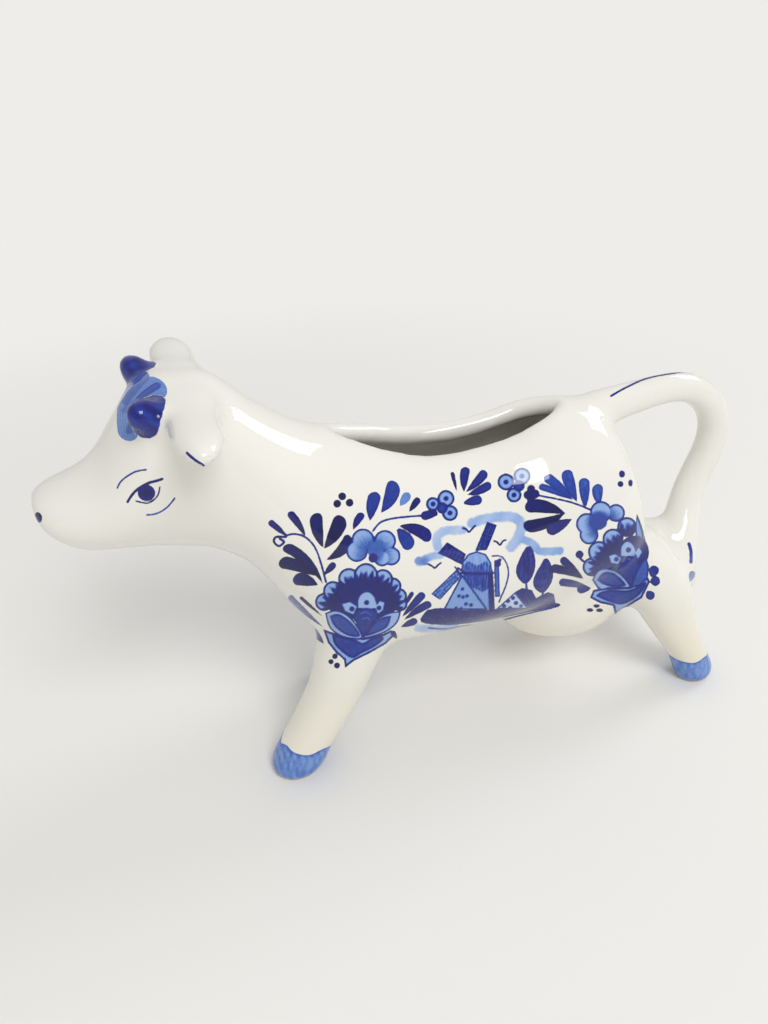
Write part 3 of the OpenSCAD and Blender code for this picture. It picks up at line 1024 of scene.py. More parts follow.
@dataclass(frozen=True)
class FlankPainting:
    """The flower sprays and the mill, each stroke where the photograph shows it."""

    front_leaves: tuple[Leaf, ...] = (
        Leaf((269, 521), (288, 537), 6.5), Leaf((289, 512), (306, 537), 8, 0.9, -1),
        Leaf((316, 513), (323, 548), 13, 0.95, 2), Leaf((342, 516), (324, 549), 15, 1.0, -2),
        Leaf((350, 536), (326, 560), 12, 0.95, -4), Leaf((284, 546), (323, 584), 11, 0.95, -5),
        Leaf((279, 562), (316, 576), 13, 0.98, -3), Leaf((293, 579), (318, 585), 13, 0.93, -2),
        Leaf((335, 563), (324, 575), 7, 0.88), Leaf((363, 513), (353, 530), 8, 0.84, 1),
        Leaf((376, 492), (370, 521), 13, 0.72, 1), Leaf((394, 481), (381, 513), 15, 0.7, -3),
        Leaf((409, 493), (400, 506), 9, 0.35), Leaf((419, 498), (409, 512), 7, 0.9),
        Leaf((411, 549), (398, 529), 14, 0.7, 1, 0.2), Leaf((431, 539), (400, 526), 13, 0.86, 3, 0.1),
        Leaf((413, 592), (401, 611), 4.5, 0.84), Leaf((424, 593), (402, 617), 8, 0.8),
        Leaf((431, 603), (404, 620), 8, 0.84, 1), Leaf((417, 620), (401, 627), 7, 0.82),
        Leaf((289, 596), (323, 627), 6, 0.7, 1), Leaf((300, 597), (322, 616), 3.5, 0.88),
        Leaf((312, 629), (324, 644), 6.5, 0.75),
        Leaf((452, 472), (457, 492), 4, 0.88), Leaf((466, 467), (464, 492), 9.5, 0.82, 1),
        Leaf((486, 471), (466, 492), 9.5, 0.8, -1), Leaf((491, 484), (467, 495), 9, 0.8, -1),
        Leaf((482, 499), (464, 503), 9.5, 0.76, 0, 0.2),
    )
    front_lines: tuple[Line, ...] = (
        Line(((285, 536), (294, 534), (305, 537), (314, 546), (320, 560), (326, 582)), 2.2, 0.78),
        Line(((286, 537), (276, 537), (274, 542), (279, 546), (284, 542), (280, 539)), 2.4, 0.88),
        Line(((373, 531), (381, 522), (396, 518), (417, 516), (431, 515)), 2.2, 0.72),
    )
    front_dots: tuple[Dot, ...] = (
        Dot((342.3, 496.3), 3.9, 0.95), Dot((337.2, 503.7), 3.9, 0.97), Dot((349.6, 502.7), 3.9, 0.97),
        Dot((335, 656.3), 2.8, 0.95), Dot((331, 661.7), 2.6, 0.95), Dot((337, 665.5), 3.0, 0.95),
    )
    blossom_lobes: Lobes = (
        ((357, 551), 11), ((391, 556), 9.5), ((382, 558), 8.5), ((363, 540), 11.5), ((385, 541), 11),
    )
    blossom_heart: Pixel = (373, 557)
    blossom_eye: Dot = Dot((373, 558), 4.6, 0.84)
    peony_petals: Lobes = (
        ((324, 602), 9), ((333, 591), 10), ((400, 604), 7.5), ((399, 596), 8), ((393, 586), 8.5),
        ((349, 579), 11), ((383, 579), 10), ((366, 575), 12),
    )
    peony_heart: Pixel = (365, 614)
    peony_inside: tuple[Stroke, ...] = (
        Dot((363, 604), 36, 0.9, 0.44), Dot((363, 594), 27, 0.88, 0.5),
        Patch(((358, 608), (358.5, 599), (362, 594), (367, 592), (371.5, 594), (375, 599), (375.5, 608)),
              0.18, round=True), Dot((366.7, 602.6), 2.3, 0.88),
        Patch(((342, 604), (350, 602), (357, 606.5), (353.5, 614.5), (345, 611)), 0.18),
        Dot((352, 609), 2.4, 0.88),
        Patch(((375, 607), (380, 601), (384.5, 602.5), (383, 610), (378, 614)), 0.18),
        Dot((379, 608), 2.2, 0.88),
    )
    peony_cup: tuple[Stroke, ...] = (
        Patch(((353, 618), (357, 611), (366, 608), (375, 611), (378, 617), (371, 625), (364, 638),
               (357, 625)), 0.74, 0.86, 1.0, hairs=0.05, round=True),
        Line(((361, 614), (366, 612), (371, 615)), 1.0, 0.4),
        Line(((362, 619), (367, 618), (370, 620)), 1.0, 0.42),
        Patch(((323, 629), (331, 632), (345, 635), (363, 638), (383, 634), (391, 630), (396, 634),
               (386, 644), (372, 652), (354, 661), (345, 668), (344, 660), (336, 653), (328, 643)),
              0.2, 0.88, 2.0),
        Patch(((332, 634), (344, 637), (356, 640), (363, 643), (372, 638), (381, 636), (383, 640),
               (374, 647), (362, 653), (352, 658), (340, 650), (334, 643)),
              0.68, 0.84, 2.2, hairs=0.05, round=True),
        Patch(((325, 613), (336, 610), (348, 615), (357, 625), (363, 638), (350, 639), (338, 635),
               (329, 627)), 0.18, 0.86, 1.4, round=True),
        Patch(((330, 616), (338, 614), (347, 619), (355, 627), (360, 636), (350, 636), (340, 631),
               (333, 624)), 0.6, 0.82, 1.8, round=True),
        Patch(((401, 611), (391, 612), (381, 616), (372, 623), (363, 638), (376, 636), (388, 631),
               (398, 622)), 0.18, 0.86, 1.4, round=True),
        Patch(((391, 616), (384, 617), (376, 621), (369, 629), (365, 636), (376, 633), (387, 627)),
              0.6, 0.82, 1.8, round=True),
        Leaf((392, 631), (397, 639), 5, 0.86),
    )
    front_stalk: Leaf = Leaf((421, 517), (437, 512), 9, 0.84, 0, 0.7)
    front_eyed: Lobes = (((433, 504), 7), ((446, 498.5), 8.5), ((450, 513), 8))
    front_eyed_heart: Pixel = (442, 508)

    rear_leaves: tuple[Leaf, ...] = (
        Leaf((539, 486), (573, 500), 7, 0.62, -1), Leaf((545, 476), (573, 500), 10, 0.62, -1),
        Leaf((566, 470), (577, 502), 12, 0.62, 1), Leaf((584, 478), (585, 506), 11, 0.6, 0, 0.25),
        Leaf((598, 484), (599, 504), 11, 0.58, 1, 0.2), Leaf((525, 506), (566, 514), 14, 0.93, -3),
        Leaf((524, 527), (565, 513), 13, 0.98, 3), Leaf((547, 532), (572, 519), 12, 0.86),
        Leaf((550, 568), (584, 579), 9, 0.94, -2), Leaf((561, 558), (583, 578), 8, 0.88),
        Leaf((559, 582), (590, 588), 8, 0.84, -1), Leaf((577, 590), (591, 588), 8, 0.78),
        Leaf((656, 566), (651, 577), 10, 0.75), Leaf((660, 580), (650, 582), 11, 0.8),
        Leaf((653, 599), (647, 591), 9, 0.75),
    )
    rear_lines: tuple[Line, ...] = (
        Line(((536, 495), (552, 498), (570, 502), (584, 507), (595, 512)), 2.0, 0.78),
        Line(((578, 556), (583, 561), (587, 563)), 2.4, 0.8),
    )
    rear_dots: tuple[Dot, ...] = (
        Dot((622, 474), 3, 0.85, 1.2), Dot((620.5, 484), 3, 0.85), Dot((630.5, 483), 2.2, 0.85, 1.6),
        Dot((596.5, 606), 3.3, 0.92, 0.55), Dot((590, 610), 3.4, 0.95, 0.55),
        Dot((599.5, 610.3), 3.4, 0.95, 0.55), Dot((579.5, 554.5), 4, 0.86), Dot((531, 489), 4, 0.9),
        Dot((528, 495), 4.5, 0.9), Dot((535, 494), 4.5, 0.9), Dot((531, 500), 4, 0.88),
    )
    rear_blossom_lobes: Lobes = (
        ((616, 513), 9), ((589, 535), 9.5), ((587, 524), 11), ((601, 512), 11),
    )
    rear_blossom_heart: Pixel = (602, 524)
    rear_peony_petals: Lobes = (
        ((592, 567), 9.5), ((599, 552), 11), ((613, 539), 10.5), ((627, 527), 10),
    )
    rear_peony_heart: Pixel = (633, 573)
    rear_peony_inside: tuple[Stroke, ...] = (
        Leaf((643, 560), (637, 514), 11, 0.88), Leaf((640, 540), (637, 518), 5, 0.3),
        Dot((620, 560), 22, 0.9, 0.8), Dot((634, 552), 15, 0.88, 1.1),
        Patch(((621, 556), (621.5, 547), (626, 542), (631, 543), (635, 549), (634, 556)), 0.18, round=True),
        Dot((628.5, 550), 2.4, 0.88),
        Patch(((609, 556), (615, 554), (621, 558), (618, 564), (611, 563)), 0.18),
        Dot((616.5, 559.3), 2.2, 0.88),
        Patch(((635, 553), (639, 547), (642, 552), (638, 559)), 0.2),
    )
    rear_peony_cup: tuple[Patch, ...] = (
        Patch(((618, 570), (620, 562), (628, 556), (637, 560), (639, 570), (630, 586)), 0.74, 0.86, 1.0,
              hairs=0.05, round=True),
        Patch(((590, 598), (593, 590), (604, 588), (630, 587), (648, 577), (650, 582), (642, 598),
               (626, 608), (615, 615), (613, 606), (600, 603)), 0.2, 0.86, 2.0),
        Patch(((596, 596), (601, 592), (612, 590), (630, 590), (646, 582), (640, 594), (624, 604),
               (610, 602)), 0.68, 0.84, 2.0, hairs=0.05, round=True),
        Patch(((630, 588), (636, 571), (646, 556), (649, 566), (648, 578), (640, 586)), 0.55, 0.8, 1.6),
        Patch(((592, 580), (597, 571), (606, 568), (617, 571), (627, 580), (630, 588), (612, 588),
               (600, 590)), 0.2, 0.84, 1.4, round=True),
        Patch(((597, 580), (603, 573), (613, 573), (622, 580), (625, 586), (608, 586)), 0.62, 0.84, 2.0,
              round=True),
    )
    rear_eyed: Lobes = (((506, 482), 8.5), ((522, 476), 8.5), ((514, 495), 7.5))
    rear_eyed_heart: Pixel = (519, 486)

    clouds: tuple[Line, ...] = (
        Line(((438, 547), (437, 537), (445, 531), (462, 530)), 9, 0.12, soft=3.5),
        Line(((472, 523), (490, 518), (512, 517), (521, 524), (518, 538), (511, 547)), 10, 0.16, soft=3.5),
        Line(((522, 539), (533, 544), (540, 551), (560, 551)), 8, 0.2, soft=3),
        Line(((419, 562), (430, 557), (441, 555)), 8, 0.16, soft=3.5),
        Line(((419, 561), (424, 561)), 9, 0.36, soft=2.5),
        Line(((418, 628), (436, 629), (455, 626)), 8, 0.1, soft=4),
    )
    birds: tuple[Line, ...] = (
        Line(((463, 528), (466, 529), (469, 532), (472, 529), (475, 526)), 2, 0.86),
        Line(((494, 541), (497, 542), (500, 545), (503, 541), (506, 540)), 2, 0.86),
        Line(((428, 564), (432, 566), (435, 568), (438, 565), (441, 563)), 2, 0.88),
    )
    sails: tuple[Patch, ...] = (
        Patch(((447, 542), (466, 554), (462, 565), (438, 553)), 0.9, 0.9, 1.6, grid=3.9),
        Patch(((487, 522), (497, 525), (487, 550), (475, 551)), 0.86, 0.88, 1.6, grid=3.9),
        Patch(((457, 569), (462, 576), (440, 600), (431, 594)), 0.62, 0.78, 1.0, grid=3.4),
        Patch(((494, 560), (499, 560), (500, 597), (495, 597)), 0.5, 0.75, 1.2),
    )
    mill: tuple[Stroke, ...] = (
        Patch(((463, 572), (492, 572), (495, 609), (462, 609)), 0.28, hairs=0.03),
        Patch(((463, 573), (492, 573), (492, 586), (483, 592), (474, 588), (464, 584)), 0.62, hairs=0.16),
        Patch(((488, 573), (493, 573), (495, 610), (489, 610)), 0.88),
        Patch(((461, 573), (462, 562), (468, 554), (477, 551), (486, 554), (491, 562), (493, 573)), 0.24,
              0.74, 1.5, hairs=0.03),
        Patch(((463, 571), (464, 565), (468, 561), (477, 566), (486, 561), (491, 567), (491, 572)), 0.55,
              hairs=0.14),
        Line(((461, 573), (477, 574), (493, 573)), 2.0, 0.84), Line(((458, 568), (466, 574)), 2.2, 0.86),
        Patch(((462, 574), (488, 610), (443, 610)), 0.26, 0.82, 1.5),
        Line(((455, 567), (461, 575)), 2, 0.88),
        Dot((462.5, 589), 1.5, 0.8), Dot((459, 596), 1.6, 0.8), Dot((463, 597), 1.6, 0.8),
        Dot((467, 596), 1.6, 0.8), Dot((466, 604), 1.7, 0.8), Dot((471, 605), 1.7, 0.8),
        Dot((456, 608), 1.4, 0.8), Dot((461, 608.5), 1.4, 0.8),
        Line(((492, 556), (502, 557), (508, 568), (507, 582), (499, 602)), 1.7, 0.76),
        Line(((497, 562), (500, 560)), 3.4, 0.8), Dot((498, 564), 3, 0.8),
        Patch(((496, 609), (515, 592), (529, 609)), 0.04, 0.8, 1.2),
        Dot((508, 601), 1.9, 0.86), Dot((513, 598), 1.8, 0.86), Dot((516, 603), 1.9, 0.86),
        Dot((504, 606), 1.9, 0.86), Dot((510, 608), 1.8, 0.86), Dot((521, 606), 1.6, 0.8),
        Patch(((515, 592), (522, 588), (532, 590), (536, 598), (548, 592), (554, 594), (556, 606),
               (529, 609)), 0.84, hairs=0.06),
        Patch(((427, 610), (440, 608), (462, 610), (494, 609), (529, 608), (556, 603), (558, 607), (530, 612),
               (485, 621), (450, 625), (421, 622)), 0.88, hairs=0.04, round=True),
        Line(((429, 628), (446, 629), (462, 626), (494, 622), (522, 615), (552, 608)), 1.6, 0.72),
        Line(((444, 631), (462, 629), (480, 625)), 1.4, 0.5),
    )
    trees: tuple[Patch, ...] = (
        Patch(((526, 547), (531, 547), (535, 557), (535, 569), (531, 579), (525, 584), (518, 578),
               (516, 569), (521, 556)), 0.8, 0.9, 1.2, hairs=0.1, round=True),
        Patch(((544, 559), (548, 559), (552, 567), (553, 577), (549, 587), (542, 593), (534, 587),
               (534, 577), (540, 566)), 0.8, 0.9, 1.2, hairs=0.1, round=True),
    )
    trunks: tuple[Line, ...] = (
        Line(((526, 582), (527, 592)), 2.2, 0.7), Line(((543, 591), (542, 600)), 2.2, 0.7),
    )

    def strokes(self) -> list[Stroke]:
        """Returns the whole painting of one flank in the order in which it is laid."""
        front, rear = (
            cupped_flower(petals, heart, comb=1.03, dark=0.88, tip=0.2, outline=outline, line=1.9)
            for petals, heart, outline in (
                (self.peony_petals, self.peony_heart, 0.88),
                (self.rear_peony_petals, self.rear_peony_heart, 0.86),
            )
        )
        return [
            *self.clouds, *self.birds, *self.trunks, *self.trees, *self.sails, *self.mill,
            *self.front_lines, *self.front_leaves, *self.front_dots,
            *washed_flower(self.blossom_lobes, self.blossom_heart, comb=0.95, dark=0.5),
            self.blossom_eye, *front, *self.peony_inside, *self.peony_cup,
            self.front_stalk, *eyed_flower(self.front_eyed, self.front_eyed_heart),
            *self.rear_lines, *self.rear_leaves, *self.rear_dots,
            *washed_flower(self.rear_blossom_lobes, self.rear_blossom_heart, comb=0.9, dark=0.64),
            *rear, *self.rear_peony_inside, *self.rear_peony_cup,
            *eyed_flower(self.rear_eyed, self.rear_eyed_heart),
        ]


@dataclass(frozen=True)
class FacePainting:
    """Eye, brow, nostril and ear line, drawn on either side, and the tuft between the horns. The ear line is
    cobalt laid along the shade under the ear's overhanging edge, so it is partly painted shadow.
    """

    eye: tuple[Stroke, ...] = (
        Dot((146.5, 493), 8.8, 0.86, 0.92), Dot((147, 493), 4.2, 0.97),
        Line(((127.7, 502), (132, 495), (138.6, 488.5), (148.5, 483), (156, 481), (162.3, 479)), 2.8, 0.9),
        Line(((135.7, 501), (146.5, 503.2), (153, 500.5), (158, 495), (160, 487)), 1.7, 0.84),
        Line(((117.3, 488), (120.5, 482), (126.8, 476.5), (136, 471.5), (146, 469.7)), 1.9, 0.66),
        Line(((147, 515), (155, 514), (162.3, 510.8), (169, 505.5), (174.8, 498)), 1.8, 0.6),
    )
    nostril: tuple[Stroke, ...] = (Dot((38.4, 517.3), 3.6, 0.95, 1.5, -15),)
    # Dark cobalt line under the ear's overhanging edge, which also stands in as painted shadow beneath it
    ear: tuple[Stroke, ...] = (Line(((187, 453), (195, 460), (204, 465.5)), 3.2, 0.82, 0.3),)
    tail_end: tuple[Stroke, ...] = (
        Line(((689, 544), (691, 552), (691, 562)), 3.4, 0.7), Leaf((693, 571), (690, 582), 6, 0.5),
    )
    tuft: tuple[Stroke, ...] = (
        Leaf((166, 386), (122, 408), 27, 0.36, 4, 0.7), Leaf((130, 441), (128, 396), 21, 0.34, -2, 0.8),
        Leaf((147, 372), (124, 404), 15, 0.5, 3, 0.5), Leaf((160, 384), (128, 410), 7, 0.6, 2, 0.3),
        Leaf((128, 434), (134, 402), 7, 0.5, 2, 0.3), Leaf((140, 400), (122, 412), 8, 0.46, 0, 0.5),
    )
    tail_line: tuple[Stroke, ...] = (
        Line(((611, 396), (625, 388), (645, 379), (665, 374.5), (685, 372), (700, 374)), 2.2, 0.84, 0.3),
    )

    def sides(self) -> list[Stroke]:
        """Returns what either side shows."""
        return [*self.eye, *self.nostril, *self.ear, *self.tail_end]

    def middle(self) -> list[Stroke]:
        """Returns what is drawn once, across the middle."""
        return [*self.tuft, *self.tail_line]


class Brush:
    """Lays strokes on places of the photograph.

    Attributes:
        blend_px: Half the width over which a stroke's thickness takes over from the one below.
        soft_blend_px: The same for a soft stroke, for each time that it is softer.
        soft_from: Softness from which a stroke's edge needs few points.
        soft_detail: How near to such an edge a place counts as fine.
    """

    blend_px: float = 0.6
    soft_blend_px: float = 1.5
    soft_from: float = 2.0
    soft_detail: float = 0.25

    def __init__(self, at: np.ndarray) -> None:
        """Starts on bare glaze.

        Args:
            at: Pixels, one row each.
        """
        self.at = at
        self.edge = np.full(len(at), -REACH)
        self.tone = np.full(len(at), 0.5)
        self.detail = np.full(len(at), REACH)

    def lay(self, strokes: list[Stroke]) -> None:
        """Lays strokes over each other.

        Args:
            strokes: The strokes, first one first.
        """
        for stroke in strokes:
            outline, margin = stroke.outline(), stroke.margin() + REACH
            low, high = outline.min(axis=0) - margin, outline.max(axis=0) + margin
            near = np.flatnonzero(np.all((self.at > low) & (self.at < high), axis=1))
            if not len(near):
                continue
            at, old_edge, old_tone = self.at[near], self.edge[near], self.tone[near]
            depth = stroke.depth(at)
            thick = np.clip(stroke.thick(at, depth), 0, 1)
            blend = self.soft_blend_px * stroke.soft if stroke.soft > 1 else self.blend_px
            mixed = old_tone + (thick - old_tone) * between(-blend, blend, depth)
            self.tone[near] = np.where(old_edge > 0, mixed, np.where(depth > old_edge, thick, old_tone))
            self.edge[near] = np.maximum(old_edge, depth / stroke.soft)
            fine = np.abs(depth) / (1.0 if stroke.soft < self.soft_from else self.soft_detail)
            self.detail[near] = np.minimum(self.detail[near], fine)


@dataclass(frozen=True)
class Cut:
    """A plane that parts members from the rest of the skin.

    Attributes:
        point_mm: A place on the plane.
        way: Direction from the rest to the members.
        centre_mm: Middle of the ball in which it cuts.
        reach_mm: That ball's radius.
        snap_mm: Points nearer to the plane than this count as on it.
        small_mm: Radius below which the ball holds one member with one simple rim.
        least_faces: Faces that a member has at least; scraps stay with the rest.
        trims: How often faces that stick out of the members' rims go back to the rest.
    """

    point_mm: tuple[float, float, float]
    way: tuple[float, float, float]
    centre_mm: tuple[float, float, float] = (0.0, 0.0, 0.0)
    reach_mm: float = 500.0
    snap_mm: float = 0.02
    small_mm: float = 50.0
    least_faces: int = 60
    trims: int = 6

    def part(self, bm: bmesh.types.BMesh) -> bmesh.types.BMesh:
        """Cuts the members off, and closes both sides of the cut.

        Args:
            bm: The closed skin, which loses the members.

        Returns:
            The members.
        """
        point, way, centre = Vector(self.point_mm) * MM, Vector(self.way), Vector(self.centre_mm) * MM
        verts = {v for v in bm.verts if (v.co - centre).length < self.reach_mm * MM}
        faces = [f for f in bm.faces if all(v in verts for v in f.verts)]
        geom = [*verts, *(e for e in bm.edges if all(v in verts for v in e.verts)), *faces]
        bmesh.ops.bisect_plane(bm, geom=geom, dist=self.snap_mm * MM, plane_co=point, plane_no=way)
        taken = self.without_scraps({
            f for f in self.numbered(bm)
            if (f.calc_center_median() - point).dot(way) > 0
            and (f.calc_center_median() - centre).length < self.reach_mm * MM
        })
        member = bm.copy()
        for part, is_member in ((member, True), (bm, False)):
            gone = [f for f in self.numbered(part) if (f.index in taken) != is_member]
            bmesh.ops.delete(part, geom=gone, context="FACES")
            self.close(part)
        return member

    def close(self, part: bmesh.types.BMesh) -> None:
        """Closes the open rims of a part.

        Args:
            part: A part fresh from the cut.
        """
        rims = [e for e in part.edges if e.is_boundary]
        if self.reach_mm < self.small_mm:
            caps = bmesh.ops.holes_fill(part, edges=rims, sides=0)["faces"]
            bmesh.ops.poke(part, faces=caps)
        else:
            bmesh.ops.triangle_fill(part, use_beauty=True, use_dissolve=False, edges=rims)
        flaps = [
            f for f in part.faces
            if all(len(e.link_faces) > 2 for e in f.edges)
            or len({near for e in f.edges for near in e.link_faces}) < 3
        ]
        bmesh.ops.delete(part, geom=flaps, context="FACES")

    def without_scraps(self, faces: set[bmesh.types.BMFace]) -> set[int]:
        """Leaves out the scraps of surface that hang together with no member.

        Args:
            faces: Faces beyond the plane.

        Returns:
            Numbers of the members' faces.
        """
        kept, left = set(), set(faces)
        while left:
            rim = {left.pop()}
            group = set(rim)
            while rim:
                rim = {near for f in rim for e in f.edges for near in e.link_faces if near in left}
                left -= rim
                group |= rim
            if len(group) >= self.least_faces:
                kept |= group
        for _ in range(self.trims):
            kept -= {f for f in kept if sum(kept.issuperset(e.link_faces) for e in f.edges) < 2}
        return {f.index for f in kept}

    @staticmethod
    def numbered(bm: bmesh.types.BMesh) -> bmesh.types.BMFaceSeq:
        """Numbers the faces in order and returns them."""
        bm.faces.index_update()
        return bm.faces


@dataclass
class Casting:
    """The whole cow as it leaves the kiln: the clay pieces luted together under one glaze."""

    voxel_mm: float = 1.0
    joined_mm: float = 0.001
    clay: tuple[str, ...] = (
        "body_shell", "head_shell", "leg_front_left", "leg_front_right", "leg_hind_left",
        "leg_hind_right", "udder", "tail_handle", "ear_left", "ear_right", "horn_left", "horn_right",
    )
    barrel_nodes: tuple[str, ...] = ("body_shell", "udder", "tail_handle")
    head_nodes: tuple[str, ...] = ("head_shell", "ear_left", "ear_right")
    legs: tuple[str, ...] = ("leg_front_left", "leg_front_right", "leg_hind_left", "leg_hind_right")

    # Rounds in which slip fills the creases and the clay is smoothed, each in its zone along X and Z
    relax_rounds: int = 4
    fillet_rounds: int = 60
    head_x_mm: tuple[float, float] = (-42.0, -50.0)
    head_fillet_loss: float = 0.7
    ear_fill_rounds: int = 260
    ear_back_x_mm: tuple[float, float, float, float] = (-57.0, -53.0, -30.0, -22.0)
    ear_back_z_mm: tuple[float, float] = (72.0, 80.0)
    poll_fill_rounds: int = 70
    poll_x_mm: tuple[float, float, float, float] = (-68.0, -64.0, -46.0, -40.0)
    poll_z_mm: tuple[float, float] = (86.0, 92.0)
    smooth_rounds: int = 30
    opening_x_mm: tuple[float, float, float, float] = (-28.0, -22.0, 46.0, 52.0)
    opening_z_mm: tuple[float, float] = (70.0, 76.0)
    opening_kept: float = 0.95

    # Rounds in which the thick glaze evens out the shine, everywhere and on the flanks
    glaze_rounds: int = 6
    flank_rounds: int = 40
    flank_x_mm: tuple[float, float] = (-40.0, -34.0)
    flank_y_mm: tuple[float, float] = (7.0, 11.0)
    flank_z_mm: tuple[float, float, float, float] = (18.0, 24.0, 78.0, 84.0)

    # The slant of the muzzle, the hollow below each eye and the valley in front of each haunch
    muzzle_x_mm: tuple[float, float] = (-80.0, -70.0)
    lip_back_mm: float = 2.3
    lip_z_mm: tuple[float, float] = (66.5, 76.0)
    nose_out_mm: float = 0.9
    nose_z_mm: float = 78.5
    nose_wide_mm: float = 2.6
    cheek_mm: tuple[float, float, float] = (-69.8, 6.5, 83.0)
    cheek_wide_mm: float = 6.0
    cheek_deep_mm: float = 0.6
    valley_mm: tuple[tuple[float, float, float], ...] = (
        (11, 18.5, 66), (15, 21.3, 57), (22, 21.1, 47), (31, 19, 40), (38, 17.5, 35),
    )
    valley_wide_mm: float = 5.0
    valley_deep_mm: float = 1.0

    # The skin gets finer points within so many pixels of a brush's edge, on edges longer than so
    # many millimetres, and is painted where an eye sees it this squarely
    finer: tuple[tuple[float, float], ...] = ((4.9, 0.6), (2.352, 0.3))
    facing: float = 0.05

    # The washes of the hooves and the horns: how far they reach, how thick they lie, their streaks
    hoof_mm: float = 8.4
    hoof_edge: tuple[Wave, ...] = (Wave(0.35, (0.9, 0, 0)), Wave(0.3, (0, 1.3, 0), 1))
    hoof_tone: float = 0.34
    hoof_streaks: tuple[Wave, ...] = (Wave(0.05, (4.1, 0, 0.6)), Wave(0.04, (0, 5.3, -1)))
    hoof_pool: float = 0.12
    hoof_pool_px: tuple[float, float] = (0.5, 4.0)
    horn_tone: float = 0.8
    horn_streaks: tuple[Wave, ...] = (Wave(0.07, (2.2, 0, 1.7)), Wave(0.05, (0, 3.1, 0)))
    horn_reach_mm: float = 0.85
    horn_over_px: float = -0.5

    # Where the skin is parted into pieces
    neck_cut: Cut = Cut((-42, 0, 72), (-1, 0, 0.35))
    leg_cut: Cut = Cut((0, 0, 18.5), (0, 0, -1))
    seam: Cut = Cut((0, 0, 0), (0, -1, 0))
    horn_cuts: tuple[tuple[str, Cut], ...] = (
        ("horn_left", Cut((-58.1, -11.1, 95.5), (-0.45, -0.70, 0.42), (-59.5, -12, 96), 4.3)),
        ("horn_right", Cut((-58.1, 11.1, 95.5), (-0.45, 0.70, 0.42), (-59.5, 12, 96), 4.3)),
    )

    def fused(self) -> bmesh.types.BMesh:
        """Joins the clay pieces into one closed skin."""
        bm = bmesh.new()
        for node in self.clay:
            bm.from_mesh(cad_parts[node].data)
        bmesh.ops.remove_doubles(bm, verts=bm.verts, dist=self.joined_mm * MM)
        mesh = bpy.data.meshes.new("clay")
        bm.to_mesh(mesh)
        bm.free()
        clay = bpy.data.objects.new("clay", mesh)
        bpy.context.scene.collection.objects.link(clay)
        remesh = clay.modifiers.new("skin", "REMESH")
        remesh.mode = "VOXEL"
        remesh.voxel_size = self.voxel_mm * MM
        evaluated = clay.evaluated_get(bpy.context.evaluated_depsgraph_get())
        skin = bmesh.new()
        skin.from_mesh(evaluated.to_mesh())
        evaluated.to_mesh_clear()
        bpy.data.objects.remove(clay)
        bpy.data.meshes.remove(mesh)
        return skin

    def sculpt(self, bm: bmesh.types.BMesh) -> None:
        """Softens the joints and keeps the skin in the CAD box.

        Args:
            bm: The fused skin.
        """
        skin = Skin(bm)
        skin.relax(self.relax_rounds)
        x, _, z = (skin.at / MM).T
        head = between(*self.head_x_mm, x)
        skin.fillet(self.fillet_rounds, 0.5 * (1 - self.head_fillet_loss * head))
        skin.fillet(self.ear_fill_rounds, 0.5 * zone(self.ear_back_x_mm, x) * between(*self.ear_back_z_mm, z))
        skin.fillet(self.poll_fill_rounds, 0.5 * zone(self.poll_x_mm, x) * between(*self.poll_z_mm, z))
        opening = zone(self.opening_x_mm, x) * between(*self.opening_z_mm, z)
        skin.relax(self.smooth_rounds, 0.5 * (1 - self.opening_kept * opening)[:, None])
        self.shape_face(skin)
        self.press_valley(skin)
        low, high = (np.array(corner) for corner in CAD_BOX)
        skin.at = np.clip(skin.at, low, high)
        skin.store()
        bmesh.ops.recalc_face_normals(bm, faces=bm.faces)
        bm.normal_update()
        self.note(skin)

    def note(self, skin: Skin) -> None:
        """Notes how the glaze lies on each point and how well two eyes see it.

        The first eye is on the point's own side of the cow, the second one is the photograph's.

        Args:
            skin: The sculpted skin, which gets its layers "lie" and "seen".
        """
        x, y, z = (skin.at / MM).T
        flank = between(*self.flank_y_mm, np.abs(y)) * between(*self.flank_x_mm, x) * zone(self.flank_z_mm, z)
        ways = skin.soft_normals(self.glaze_rounds, 0.5 * np.ones(len(x)))
        ways = skin.soft_normals(self.flank_rounds, 0.5 * flank, ways)
        bm = skin.bm
        lie = bm.verts.layers.float_vector.new("lie")
        seen = bm.verts.layers.float_vector.new("seen")
        tree = BVHTree.FromBMesh(bm)
        eye = ViewPoint().place()
        for vert, way in zip(bm.verts, ways):
            vert[lie] = way
            own = Vector((eye.x, math.copysign(eye.y, vert.co.y), eye.z))
            vert[seen] = Vector((self.faces_eye(tree, vert, own), self.faces_eye(tree, vert, eye), 0))

    def shape_face(self, skin: Skin) -> None:
        """Slants the muzzle from nose to chin and hollows the face below each eye.

        Args:
            skin: The skin.
        """
        x, _, z = (skin.at / MM).T
        tip = 1 - between(*self.muzzle_x_mm, x)
        skin.at[:, 0] += MM * tip * self.lip_back_mm * (1 - between(*self.lip_z_mm, z))
        nose = np.exp(-(((z - self.nose_z_mm) / self.nose_wide_mm) ** 2))
        skin.at[:, 0] -= MM * tip * self.nose_out_mm * nose
        away = np.linalg.norm(np.abs(skin.at / MM) - np.abs(np.array(self.cheek_mm)), axis=1)
        dent = self.cheek_deep_mm * np.exp(-((away / self.cheek_wide_mm) ** 2)) * (x < 0)
        skin.at -= MM * dent[:, None] * skin.normals()

